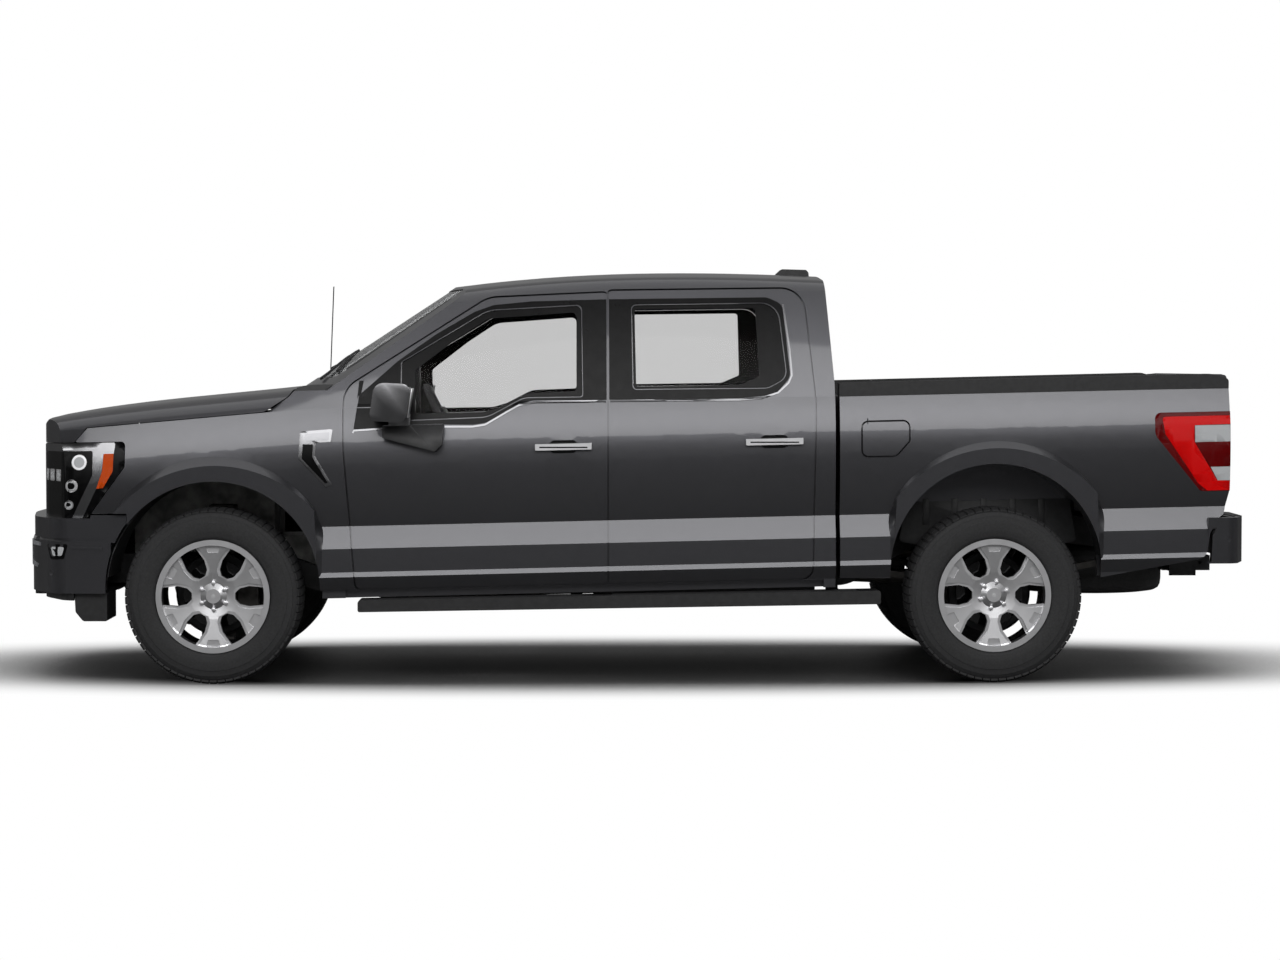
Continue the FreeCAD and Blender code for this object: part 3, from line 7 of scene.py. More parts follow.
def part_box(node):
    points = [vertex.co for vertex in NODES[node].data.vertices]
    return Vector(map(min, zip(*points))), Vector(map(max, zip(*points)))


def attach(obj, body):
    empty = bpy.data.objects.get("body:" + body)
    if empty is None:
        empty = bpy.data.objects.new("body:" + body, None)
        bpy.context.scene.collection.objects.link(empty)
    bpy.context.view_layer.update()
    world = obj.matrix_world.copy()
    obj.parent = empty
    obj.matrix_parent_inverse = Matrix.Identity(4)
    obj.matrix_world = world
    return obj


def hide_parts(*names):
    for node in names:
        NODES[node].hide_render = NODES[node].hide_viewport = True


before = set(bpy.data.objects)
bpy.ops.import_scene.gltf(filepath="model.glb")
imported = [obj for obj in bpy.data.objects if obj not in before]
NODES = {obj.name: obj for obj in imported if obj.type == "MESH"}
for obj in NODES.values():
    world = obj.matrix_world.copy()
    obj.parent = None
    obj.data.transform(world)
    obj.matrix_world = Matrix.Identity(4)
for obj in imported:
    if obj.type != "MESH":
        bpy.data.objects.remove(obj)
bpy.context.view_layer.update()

# Sizes of the truck, in metres
RAKE = 0.022
FRONT_AXLE_X = -1.9825
REAR_AXLE_X = 1.7105
HALF_TRACK = 0.8585
TYRE_R = 0.416
# Widths from the middle at which the painted shade on the wheels is full and where it ends
ALLOY_FULL_SHADE_Y = 0.900
ALLOY_NO_SHADE_Y = 0.935
SIDES = {"left": -1, "right": 1}


def lift(x, z):
    """Height of a body level at a place along the truck, which stands with its tail a little high."""
    return z + RAKE * x


# Colours and finishes

def tone(grey):
    """Linear value of a grey from 0 to 255."""
    return (grey / 255) ** 2.2


def shade(red, green, blue):
    """Linear colour of three levels from 0 to 255."""
    return (tone(red), tone(green), tone(blue), 1.0)


class Finish:
    """A material under construction, with its shader and its coordinates."""

    def __init__(self, name, colour, roughness=0.5, metallic=0.0):
        self.material = bpy.data.materials.new(name)
        self.material.use_nodes = True
        self.tree = self.material.node_tree
        self.shader = self.tree.nodes["Principled BSDF"]
        self.shader.inputs["Base Color"].default_value = colour
        self.shader.inputs["Roughness"].default_value = roughness
        self.shader.inputs["Metallic"].default_value = metallic
        self.place = self.node("ShaderNodeTexCoord").outputs["Object"]

    def node(self, kind, **values):
        made = self.tree.nodes.new(kind)
        for key, value in values.items():
            setattr(made, key, value)
        return made

    def link(self, source, target):
        self.tree.links.new(source, target)

    def set(self, **values):
        for key, value in values.items():
            self.shader.inputs[key.replace("_", " ")].default_value = value
        return self

    def noise(self, scale, detail=3.0, stretch=None):
        made = self.node("ShaderNodeTexNoise")
        made.inputs["Scale"].default_value = scale
        made.inputs["Detail"].default_value = detail
        source = self.place
        if stretch:
            mapping = self.node("ShaderNodeMapping")
            mapping.inputs["Scale"].default_value = stretch
            self.link(self.place, mapping.inputs["Vector"])
            source = mapping.outputs["Vector"]
        self.link(source, made.inputs["Vector"])
        return made.outputs["Fac"]

    def ramp(self, source, low, high, start=0.35, end=0.65):
        made = self.node("ShaderNodeValToRGB")
        made.color_ramp.elements[0].position = start
        made.color_ramp.elements[0].color = low
        made.color_ramp.elements[1].position = end
        made.color_ramp.elements[1].color = high
        self.link(source, made.inputs["Fac"])
        return made.outputs["Color"]

    def colours(self, source, low, high, start=0.35, end=0.65):
        self.link(self.ramp(source, low, high, start, end), self.shader.inputs["Base Color"])
        return self

    def rough(self, source, low, high):
        made = self.node("ShaderNodeMapRange")
        made.inputs["To Min"].default_value = low
        made.inputs["To Max"].default_value = high
        self.link(source, made.inputs["Value"])
        self.link(made.outputs["Result"], self.shader.inputs["Roughness"])
        return self

    def bump(self, source, strength, distance=0.001):
        made = self.node("ShaderNodeBump")
        made.inputs["Strength"].default_value = strength
        made.inputs["Distance"].default_value = distance
        self.link(source, made.inputs["Height"])
        self.link(made.outputs["Normal"], self.shader.inputs["Normal"])
        return self


def painted():
    """Dark grey metallic paint with fine flakes under a clear coat."""
    made = Finish("grey_metallic_paint", shade(76, 76, 79), 0.34, 0.85)
    made.set(Coat_Weight=0.6, Coat_Roughness=0.05)
    flakes = made.noise(2600.0, 2.0)
    made.colours(flakes, shade(66, 66, 69), shade(86, 86, 89), 0.3, 0.7)
    return made.rough(made.noise(30.0, 2.0), 0.31, 0.37).material


def chromed(name, colour, roughness, coat=0.0):
    """Bright plating with a faint unevenness."""
    made = Finish(name, colour, roughness, 1.0)
    made.set(Coat_Weight=coat, Coat_Roughness=0.05)
    return made.rough(made.noise(18.0, 3.0), roughness - 0.03, roughness + 0.05).material


def wheel_metal():
    """Polished wheel alloy with painted shade, darker towards the inboard side in the wheel's depth."""
    made = Finish("polished_wheel_alloy", shade(232, 232, 234), 0.44, 1.0)
    made.set(Coat_Weight=1.0, Coat_Roughness=0.06)
    # Painted shade: the colour runs from near black inboard to bright alloy at the outer face, so the barrel
    # and the pockets behind the spokes look shaded.
    depth = made.node("ShaderNodeSeparateXYZ")
    made.link(made.place, depth.inputs[0])
    outward = made.node("ShaderNodeMath", operation="ABSOLUTE")
    made.link(depth.outputs["Y"], outward.inputs[0])
    shaded = made.node("ShaderNodeMapRange")
    shaded.inputs["From Min"].default_value = ALLOY_FULL_SHADE_Y
    shaded.inputs["From Max"].default_value = ALLOY_NO_SHADE_Y
    made.link(outward.outputs[0], shaded.inputs["Value"])
    made.colours(shaded.outputs["Result"], shade(30, 30, 31), shade(222, 222, 224), 0.0, 1.0)
    return made.rough(made.noise(25.0), 0.34, 0.42).material


def grained(name, colour, roughness=0.55, grain=900.0, depth=0.25):
    """Moulded plastic with a fine grain."""
    low = tuple(c * 0.8 for c in colour[:3]) + (1.0,)
    high = tuple(c * 1.25 for c in colour[:3]) + (1.0,)
    made = Finish(name, colour, roughness)
    made.colours(made.noise(40.0, 4.0), low, high)
    made.rough(made.noise(70.0), roughness - 0.07, roughness + 0.07)
    return made.bump(made.noise(grain, 3.0), depth, 0.0006).material


def gloss_black():
    """Gloss black plastic round the windows and lamps."""
    made = Finish("gloss_black", shade(20, 20, 21), 0.3)
    made.set(Specular_IOR_Level=0.14)
    made.colours(made.noise(30.0, 4.0), shade(9, 9, 10), shade(15, 15, 16))
    return made.rough(made.noise(22.0), 0.24, 0.36).material


def tinted_glass(name, colour):
    """Clear glass with a grey tint."""
    made = Finish(name, colour, 0.02)
    made.set(Transmission_Weight=1.0, IOR=1.1)
    return made.rough(made.noise(9.0), 0.0, 0.03).material


def red_lens(name, colour, lines):
    """Red lamp plastic with fine optics moulded inside."""
    made = Finish(name, colour, 0.2)
    made.set(Specular_IOR_Level=0.12, Coat_Weight=0.06, Coat_Roughness=0.05)
    wave = made.node("ShaderNodeTexWave", bands_direction="Z")
    wave.inputs["Scale"].default_value = lines
    made.link(made.place, wave.inputs["Vector"])
    low = tuple(c * 0.6 for c in colour[:3]) + (1.0,)
    made.colours(wave.outputs["Fac"], low, colour, 0.2, 0.7)
    return made.bump(wave.outputs["Fac"], 0.3, 0.001).material


def tyre_rubber():
    """Dark rubber, slightly dusty."""
    made = Finish("tyre_rubber", shade(38, 38, 39), 0.72)
    made.colours(made.noise(120.0, 5.0), shade(34, 34, 35), shade(42, 42, 43))
    return made.bump(made.noise(420.0), 0.25, 0.0006).material


def coated_steel(name, colour, roughness=0.5, metallic=0.6):
    """Steel or iron with a thin, slightly uneven coat."""
    low = tuple(c * 0.65 for c in colour[:3]) + (1.0,)
    high = tuple(c * 1.4 for c in colour[:3]) + (1.0,)
    made = Finish(name, colour, roughness, metallic)
    made.colours(made.noise(14.0, 6.0), low, high)
    made.rough(made.noise(50.0), roughness - 0.1, roughness + 0.12)
    return made.bump(made.noise(160.0, 4.0), 0.2, 0.0008).material


def seat_cloth():
    """Dark woven cloth."""
    made = Finish("seat_cloth", shade(52, 52, 55), 0.9)
    made.set(Sheen_Weight=0.35, Sheen_Roughness=0.5)
    waves = []
    for direction in ("X", "Y", "Z"):
        wave = made.node("ShaderNodeTexWave", bands_direction=direction)
        wave.inputs["Scale"].default_value = 130.0
        wave.inputs["Distortion"].default_value = 0.6
        made.link(made.place, wave.inputs["Vector"])
        waves.append(wave.outputs["Fac"])
    both = made.node("ShaderNodeMath", operation="MULTIPLY")
    made.link(waves[0], both.inputs[0])
    made.link(waves[1], both.inputs[1])
    weave = made.node("ShaderNodeMath", operation="ADD")
    made.link(both.outputs[0], weave.inputs[0])
    made.link(waves[2], weave.inputs[1])
    made.colours(weave.outputs[0], shade(40, 40, 43), shade(66, 66, 70), 0.2, 0.8)
    return made.bump(weave.outputs[0], 0.35, 0.0008).material


PAINT = painted()
CHROME = chromed("bright_chrome", shade(234, 234, 236), 0.42, 0.8)
SHADED_CHROME = chromed("shaded_chrome", shade(128, 128, 130), 0.24, 0.3)
ALLOY = wheel_metal()
BLACK_PLASTIC = grained("black_moulding", shade(34, 34, 35), 0.5)
DARK_TRIM = grained("cabin_plastic", shade(44, 44, 46), 0.62, 700.0, 0.35)
GLOSS_BLACK = gloss_black()
GLASS = tinted_glass("tinted_glass", shade(222, 222, 222))
# Painted reflection: the windscreen gets a far darker grey than the side glass, standing in for dark
# surroundings seen in it.
SCREEN_GLASS = tinted_glass("windscreen_glass", shade(150, 151, 152))
RED = red_lens("red_lamp_plastic", shade(206, 6, 8), 90.0)
DARK_RED = red_lens("dark_red_lamp_plastic", shade(92, 6, 10), 60.0)
AMBER = red_lens("amber_lamp_plastic", shade(190, 70, 8), 120.0)
RUBBER = tyre_rubber()
FRAME_BLACK = coated_steel("black_frame_coat", shade(38, 38, 39), 0.5, 0.3)
CAST_IRON = coated_steel("cast_iron", shade(70, 68, 66), 0.62, 0.6)
PLAIN_STEEL = coated_steel("exhaust_steel", shade(128, 124, 118), 0.42, 0.9)
CAST_ALLOY = coated_steel("cast_alloy", shade(142, 142, 140), 0.48, 0.8)
CLOTH = seat_cloth()
MOULDING = chromed("satin_window_moulding", shade(122, 122, 124), 0.22)
STRUT_GREY = grained("grey_strut_plastic", shade(112, 113, 116), 0.4)
LAMP_DARK = gloss_black()
LAMP_DARK.name = "dark_lamp_housing"
CLEAR_RIBBED = red_lens("clear_ribbed_plastic", shade(176, 178, 180), 100.0)

NODE_FINISH = {
    "cab_shell": PAINT, "cab_glass": SCREEN_GLASS, "cowl": BLACK_PLASTIC, "hood": PAINT, "fenders": PAINT,
    "grille": SHADED_CHROME, "headlamps": GLOSS_BLACK, "front_bumper": PAINT, "air_dam": BLACK_PLASTIC,
    "wheel_liners": BLACK_PLASTIC, "bed_box": PAINT, "bedside_left": PAINT, "bedside_right": PAINT,
    "fuel_door": PAINT, "bed_rail_caps": BLACK_PLASTIC, "tail_lamps": DARK_RED, "tailgate": PAINT,
    "rear_bumper": PAINT, "ladder_frame": FRAME_BLACK, "running_boards": BLACK_PLASTIC,
    "fuel_tank": BLACK_PLASTIC, "exhaust": PLAIN_STEEL, "engine": CAST_ALLOY, "rear_axle": CAST_IRON,
    "front_suspension": CAST_IRON, "knuckle_left": CAST_IRON, "knuckle_right": CAST_IRON,
    "dashboard": DARK_TRIM, "steering_wheel": DARK_TRIM, "aerials": BLACK_PLASTIC, "spare_wheel": RUBBER,
    "radiator": CAST_ALLOY, "hitch_receiver": FRAME_BLACK, "tow_hooks": FRAME_BLACK,
    "front_seats": CLOTH, "rear_seat": CLOTH,
}
START_FINISH = {"door_": PAINT, "glass_": GLASS, "handle_": CHROME, "mirror_": CHROME, "tyre_": RUBBER,
                "rim_": ALLOY}


def finish_of(name):
    """The finish of a solid of the frame."""
    if name in NODE_FINISH:
        return NODE_FINISH[name]
    return next(value for start, value in START_FINISH.items() if name.startswith(start))


for name, node in NODES.items():
    node.data.materials.clear()
    node.data.materials.append(finish_of(name))


# Ways of making a piece

def clear():
    """Nothing selected, in object mode."""
    if bpy.context.object and bpy.context.object.mode != "OBJECT":
        bpy.ops.object.mode_set(mode="OBJECT")
    bpy.ops.object.select_all(action="DESELECT")


def pick(obj):
    """Only this object selected and active."""
    clear()
    obj.select_set(True)
    bpy.context.view_layer.objects.active = obj
    return obj


def settle(obj):
    """Move an object's place into its mesh."""
    pick(obj)
    bpy.ops.object.transform_apply(location=True, rotation=True, scale=True)
    return obj


def apply(obj, kind, **values):
    """Add a modifier, set it and apply it."""
    pick(obj)
    modifier = obj.modifiers.new(kind.lower(), kind)
    for key, value in values.items():
        setattr(modifier, key, value)
    bpy.ops.object.modifier_apply(modifier=modifier.name)
    return obj


def tidy(obj):
    """Merge doubles and turn all faces outwards."""
    pick(obj)
    bpy.ops.object.mode_set(mode="EDIT")
    bpy.ops.mesh.select_all(action="SELECT")
    bpy.ops.mesh.remove_doubles(threshold=0.00005)
    bpy.ops.mesh.normals_make_consistent(inside=False)
    bpy.ops.object.mode_set(mode="OBJECT")
    return obj


def dress(obj, name, finish, body, angle=35):
    """Name a finished piece, give it its finish and let it ride on its body."""
    settle(obj)
    bpy.ops.object.shade_smooth_by_angle(angle=math.radians(angle))
    obj.name = name
    obj.data.name = name
    obj.data.materials.clear()
    obj.data.materials.append(finish)
    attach(obj, body)
    return obj


def rounded(corners):
    """Points of an outline whose corners (a, b, radius) are rounded."""
    points = []
    count = len(corners)
    for i, corner in enumerate(corners):
        here = Vector(corner[:2])
        radius = corner[2] if len(corner) > 2 else 0.0
        if not radius:
            points.append(tuple(here))
            continue
        before = (Vector(corners[i - 1][:2]) - here).normalized()
        after = (Vector(corners[(i + 1) % count][:2]) - here).normalized()
        half = before.angle(after) / 2
        reach = radius / math.tan(half)
        first = here + before * reach
        last = here + after * reach
        centre = here + (before + after).normalized() * (radius / math.sin(half))
        start = first - centre
        turn = start.angle_signed(last - centre)
        steps = 8
        for k in range(steps + 1):
            spoke = start.copy()
            spoke.rotate(Matrix.Rotation(-turn * k / steps, 2))
            points.append(tuple(centre + spoke))
    return points


def flat(outlines):
    """A flat filled mesh in the plane of X and Z, from an outline and its holes."""
    clear()
    data = bpy.data.curves.new("outline", "CURVE")
    data.dimensions = "2D"
    data.fill_mode = "BOTH"
    for outline in outlines:
        spline = data.splines.new("POLY")
        points = rounded(outline)
        spline.points.add(len(points) - 1)
        for point, (a, b) in zip(spline.points, points):
            point.co = (a, b, 0.0, 1.0)
        spline.use_cyclic_u = True
    obj = bpy.data.objects.new("outline", data)
    bpy.context.scene.collection.objects.link(obj)
    pick(obj)
    bpy.ops.object.convert(target="MESH")
    obj = bpy.context.object
    obj.rotation_euler = (math.radians(90), 0, 0)
    return tidy(settle(obj))


def plate(outlines, y0, y1, bevel=0.0, segments=2):
    """A plate with the given outline in X and Z, between two widths."""
    obj = flat(outlines)
    obj.location.y = min(y0, y1)
    settle(obj)
    bpy.ops.object.mode_set(mode="EDIT")
    bpy.ops.mesh.select_all(action="SELECT")
    bpy.ops.mesh.extrude_region_move(TRANSFORM_OT_translate={"value": (0, abs(y1 - y0), 0)})
    bpy.ops.object.mode_set(mode="OBJECT")
    tidy(obj)
    if bevel:
        apply(obj, "BEVEL", width=bevel, segments=segments, limit_method="ANGLE",
              angle_limit=math.radians(40))
    return obj


def block(low, high, bevel=0.0, segments=2):
    """A block between two corners with softened edges."""
    clear()
    low = Vector(low)
    high = Vector(high)
    bpy.ops.mesh.primitive_cube_add(size=1, location=(low + high) / 2)
    obj = bpy.context.object
    obj.scale = high - low
    settle(obj)
    if bevel:
        apply(obj, "BEVEL", width=bevel, segments=segments)
    return obj


def bar(start, end, radius, sides=24, bevel=0.0):
    """A round bar between two points."""
    clear()
    start = Vector(start)
    end = Vector(end)
    way = end - start
    bpy.ops.mesh.primitive_cylinder_add(vertices=sides, radius=radius, depth=way.length)
    obj = bpy.context.object
    obj.rotation_euler = way.to_track_quat("Z", "Y").to_euler()
    obj.location = (start + end) / 2
    settle(obj)
    if bevel:
        apply(obj, "BEVEL", width=bevel, segments=2, limit_method="ANGLE", angle_limit=math.radians(40))
    return obj


def spun(profile, centre, steps=96):
    """A ring turned about the truck's Y direction from (offset, radius) points."""
    clear()
    data = bpy.data.meshes.new("profile")
    count = len(profile)
    data.from_pydata([(0, o, r) for o, r in profile], [(i, (i + 1) % count) for i in range(count)], [])
    obj = bpy.data.objects.new("profile", data)
    bpy.context.scene.collection.objects.link(obj)
    pick(obj)
    bpy.ops.object.mode_set(mode="EDIT")
    bpy.ops.mesh.select_all(action="SELECT")
    bpy.ops.mesh.spin(steps=steps, angle=math.tau, center=(0, 0, 0), axis=(0, 1, 0))
    bpy.ops.object.mode_set(mode="OBJECT")
    tidy(obj)
    obj.location = centre
    return settle(obj)


def ring_of(obj, count, centre):
    """Copies of a piece round a wheel's axis, in one mesh."""
    pick(obj)
    bpy.ops.object.mode_set(mode="EDIT")
    bpy.ops.mesh.select_all(action="SELECT")
    bpy.ops.mesh.spin(steps=count, angle=math.tau, center=centre, axis=(0, 1, 0), dupli=True)
    bpy.ops.object.mode_set(mode="OBJECT")
    pick(obj)
    bpy.ops.object.mode_set(mode="EDIT")
    bpy.ops.mesh.select_all(action="SELECT")
    bpy.ops.mesh.remove_doubles(threshold=0.00001)
    bpy.ops.object.mode_set(mode="OBJECT")
    return obj


def joined(objects):
    """Several meshes as one."""
    clear()
    for obj in objects:
        obj.select_set(True)
    bpy.context.view_layer.objects.active = objects[0]
    bpy.ops.object.join()
    return objects[0]


def copy_of(obj, offset=(0, 0, 0)):
    """A copy with its own mesh, moved by an offset."""
    clear()
    made = bpy.data.objects.new("copy", obj.data.copy())
    bpy.context.scene.collection.objects.link(made)
    made.matrix_world = obj.matrix_world.copy()
    made.location += Vector(offset)
    return settle(made)


def mirrored(obj):
    """A piece turned over to the truck's other side."""
    obj.scale.y = -1
    settle(obj)
    return tidy(obj)


def cut_with(obj, cutter, operation="DIFFERENCE"):
    """Cut a mesh by another, or keep what they share."""
    apply(obj, "BOOLEAN", operation=operation, object=cutter, solver="EXACT")
    bpy.data.objects.remove(cutter)
    return obj


def piece_of(node, cutter):
    """The part of a solid of the frame that lies inside a cutter."""
    made = tidy(copy_of(NODES[node]))
    return cut_with(made, cutter, "INTERSECT")


WAYS = {"left": (1, -1), "right": (1, 1), "front": (0, -1), "rear": (0, 1), "top": (2, 1)}


def laid(obj, way, stand, thick, targets, step):
    """Lay a flat form on solids of the frame from one side of the truck, standing off them."""
    axis, sign = WAYS[way]
    pick(obj)
    bpy.ops.object.mode_set(mode="EDIT")
    for across_axis in range(3):
        if across_axis == axis:
            continue
        low = min(v[across_axis] for v in obj.bound_box)
        high = max(v[across_axis] for v in obj.bound_box)
        place = low + step
        while place < high:
            bpy.ops.mesh.select_all(action="SELECT")
            point = [0, 0, 0]
            normal = [0, 0, 0]
            point[across_axis] = place
            normal[across_axis] = 1
            bpy.ops.mesh.bisect(plane_co=point, plane_no=normal)
            place += step
    bpy.ops.object.mode_set(mode="OBJECT")
    target = joined([copy_of(NODES[name]) for name in targets])
    obj.location[axis] = sign * 4.0
    settle(obj)
    apply(obj, "SHRINKWRAP", wrap_method="PROJECT", use_project_x=axis == 0, use_project_y=axis == 1,
          use_project_z=axis == 2, use_negative_direction=sign > 0, use_positive_direction=sign < 0,
          target=target)
    bpy.data.objects.remove(target)
    for vertex in obj.data.vertices:
        vertex.select = abs(vertex.co[axis]) > 3.9
    for group in (obj.data.edges, obj.data.polygons):
        for part in group:
            part.select = False
    pick(obj)
    bpy.ops.object.mode_set(mode="EDIT")
    bpy.ops.mesh.select_mode(type="VERT")
    bpy.ops.mesh.delete(type="VERT")
    bpy.ops.object.mode_set(mode="OBJECT")
    obj.location[axis] = sign * stand
    settle(obj)
    apply(obj, "SOLIDIFY", thickness=thick, offset=0.0)
    return tidy(obj)


def wrapped(outlines, targets, side, stand, thick, step=0.05):
    """A thin panel on the truck's side; its outline is in body levels."""
    obj = flat([raised(outline) for outline in outlines])
    return laid(obj, "left" if side < 0 else "right", stand, thick, targets, step)


def faced(outlines, targets, way, stand, thick, step=0.05):
    """A thin panel on the truck's front or rear; its outline is in Y and Z."""
    obj = flat(outlines)
    obj.rotation_euler.z = math.radians(90)
    settle(obj)
    return laid(obj, way, stand, thick, targets, step)


def topped(outlines, targets, stand, thick, step=0.05):
    """A thin panel on top of a solid; its outline is in X and Y."""
    obj = flat(outlines)
    obj.rotation_euler.x = math.radians(-90)
    settle(obj)
    return laid(obj, "top", stand, thick, targets, step)


def ribbon(points, width):
    """The outline of a strip of even width along a line of points."""
    left = []
    right = []
    for i, point in enumerate(points):
        before = Vector(points[max(i - 1, 0)])
        after = Vector(points[min(i + 1, len(points) - 1)])
        way = (after - before).normalized()
        normal = Vector((-way.y, way.x)) * width / 2
        left.append(tuple(Vector(point) + normal))
        right.append(tuple(Vector(point) - normal))
    return left + list(reversed(right))


def raised(outline):
    """An outline of body levels as it stands on the truck."""
    return [(c[0], lift(c[0], c[1])) + tuple(c[2:]) for c in outline]


def through(outline, y0, y1):
    """A block through the body with an outline in body levels."""
    return plate([raised(outline)], y0, y1)


def mm(points):
    """Points in millimetres as metres."""
    return [tuple(value / 1000 for value in point) for point in points]


def circle(a, b, radius, count):
    """A round outline about a point, in straight steps."""
    turns = [k * math.tau / count for k in range(count)]
    return [(a + radius * math.cos(t), b + radius * math.sin(t)) for t in turns]


def rectangle(a0, b0, a1, b1, radius=0.0):
    """The outline of a rectangle between two opposite corners, all of them rounded alike."""
    return [(a0, b0, radius), (a1, b0, radius), (a1, b1, radius), (a0, b1, radius)]


# Tyres

def tyre_piece(centre):
    """A road tyre with sidewall rings and a blocked tread."""
    half = 0.1375
    right = [(0.112, 0.2505), (0.113, 0.268), (0.121, 0.271), (0.128, 0.276), (0.1335, 0.288),
             (0.1335, 0.292), (0.1345, 0.294), (half - 0.001, 0.318), (half, 0.336), (half, 0.350),
             (half - 0.002, 0.352), (half - 0.004, 0.372), (half - 0.004, 0.376),
             (half - 0.0065, 0.378), (half - 0.012, 0.394), (half - 0.022, 0.4030), (0.096, 0.4075),
             (0.060, 0.4090)]
    profile = [(-o, r) for o, r in right] + list(reversed(right))
    casing = spun(profile, (0, 0, 0), 120)
    rows = []
    pitch = 66
    for offset, length, width, turn, top in (
        (0.0, 0.033, 0.031, 8, 0.4158),
        (0.039, 0.033, 0.031, -10, 0.4156), (-0.039, 0.033, 0.031, -10, 0.4156),
        (0.078, 0.034, 0.033, 5, 0.4148), (-0.078, 0.034, 0.033, 5, 0.4148),
    ):
        lug = block((-length / 2, -width / 2, 0.400), (length / 2, width / 2, top), 0.002, 1)
        lug.rotation_euler.z = math.radians(turn)
        settle(lug)
        lug.location.y = offset
        settle(lug)
        rows.append(ring_of(lug, pitch, (0, 0, 0)))
    for side in (-1, 1):
        lug = block((-0.0172, -0.013, 0.379), (0.0172, 0.013, 0.4115), 0.0015, 1)
        lug.rotation_euler.x = side * math.radians(-24)
        settle(lug)
        points = [vertex.co for vertex in lug.data.vertices]
        middle_y = sum(point.y for point in points) / len(points)
        middle_z = sum(point.z for point in points) / len(points)
        lug.location = (0, side * 0.1098 - middle_y, 0.3950 - middle_z)
        settle(lug)
        rows.append(ring_of(lug, pitch, (0, 0, 0)))
    whole = joined([casing] + rows)
    whole.location = centre
    return settle(whole)


# Wheels

def nut_ring(centre, outward, turn):
    """Six wheel nuts and the plain centre cap."""
    face = 0.101
    nut = bar((0, 0, 0), (0, 0.018, 0), 0.0105, 6, 0.0015)
    nut.location = (0.063, 0, 0)
    settle(nut)
    nuts = ring_of(nut, 6, (0, 0, 0))
    profile = [(0.0, 0.0005), (0.0, 0.034), (0.010, 0.033), (0.0135, 0.030), (0.015, 0.018), (0.0155, 0.0005)]
    cap = spun(profile, (0, 0, 0), 48)
    whole = joined([nuts, cap])
    whole.rotation_euler.y = turn + math.radians(30)
    settle(whole)
    if outward < 0:
        mirrored(whole)
    whole.location = Vector(centre) + Vector((0, outward * (face - 0.017), 0))
    return settle(whole)


first_tyre = None
for end, axle_x in (("front", FRONT_AXLE_X), ("rear", REAR_AXLE_X)):
    for side_name, side in SIDES.items():
        tag = end + "_" + side_name
        centre = Vector((axle_x, side * HALF_TRACK, TYRE_R))
        if first_tyre is None:
            tyre = tyre_piece(centre)
            first_tyre = (tyre, centre)
        else:
            tyre = copy_of(first_tyre[0], centre - first_tyre[1])
        dress(tyre, "tyre_tread_" + tag, RUBBER, "wheel_" + tag, 30)
        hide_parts("tyre_" + tag)
        nuts = nut_ring(centre, side, 0.0 if end == "front" else math.radians(12))
        dress(nuts, "wheel_nuts_" + tag, CHROME, "wheel_" + tag)


def brake_shield(centre, side):
    """The pressed dust shield on the inboard side of a brake disc."""
    profile = [(0.097, 0.066), (0.097, 0.190), (0.088, 0.197), (0.0905, 0.199), (0.1005, 0.192),
               (0.1005, 0.066)]
    obj = spun([(-o, r) for o, r in profile], (0, 0, 0), 72)
    if side < 0:
        mirrored(obj)
    obj.location = centre
    return settle(obj)


for side_name, side in SIDES.items():
    carriers = (("front", FRONT_AXLE_X, "knuckle_" + side_name), ("rear", REAR_AXLE_X, "chassis"))
    for end, axle_x, body in carriers:
        shield = brake_shield(Vector((axle_x, side * HALF_TRACK, TYRE_R)), side)
        dress(shield, "brake_shield_" + end + "_" + side_name, FRAME_BLACK, body)


def splash_sheet(side_name, side):
    """The moulded splash sheet between a rear wheel and the rails, with its pressed ribs."""
    outline = [(1.290, 0.655, 0.02), (1.330, 0.872, 0.03), (2.110, 0.890, 0.03), (2.150, 0.655, 0.02),
               (2.010, 0.630, 0.04), (1.900, 0.720, 0.10), (1.520, 0.720, 0.10), (1.410, 0.630, 0.04)]
    y0, y1 = sorted((side * 0.652, side * 0.656))
    rib_y0, rib_y1 = sorted((side * 0.655, side * 0.660))
    parts = [plate([outline], y0, y1, 0.001)]
    for x in (1.42, 1.56, 1.70, 1.84, 1.98):
        parts.append(block((x - 0.016, rib_y0, 0.735), (x + 0.016, rib_y1, 0.862), 0.002))
    dress(joined(parts), "splash_sheet_" + side_name, BLACK_PLASTIC, "chassis")


for side_name, side in SIDES.items():
    splash_sheet(side_name, side)


# Windows

FRONT_BLACK = mm([(-1323, 1200, 20), (-1305, 1385, 30), (-1116, 1549), (-935, 1673), (-753, 1776, 120),
                  (-663, 1806, 60), (-481, 1820), (-126, 1822), (-126, 1345), (-481, 1350, 80),
                  (-599, 1303), (-681, 1252, 60), (-753, 1242, 60), (-1044, 1250), (-1318, 1228, 12)])
FRONT_HOLE = mm([(-1101, 1266, 15), (-1101, 1546, 15), (-691, 1785, 160), (-243, 1800, 26),
                 (-237, 1359, 14), (-519, 1361, 120), (-690, 1273, 160)])
FRONT_PANE = mm([(-1097, 1270, 15), (-1097, 1543, 15), (-690, 1780, 160), (-247, 1795, 26),
                 (-241, 1363, 14), (-520, 1365, 120), (-690, 1277, 160)])
FRONT_CLEAR = mm([(-1032, 1300, 12), (-1032, 1505, 24), (-844, 1645), (-690, 1742, 120),
                  (-268, 1764, 24), (-268, 1388, 12), (-505, 1384, 100), (-640, 1318, 100),
                  (-712, 1298, 60)])
REAR_BLACK = mm([(-114, 1822), (640, 1815, 80), (712, 1782, 50), (746, 1432, 60), (672, 1352, 60),
                 (500, 1338), (-114, 1345)])
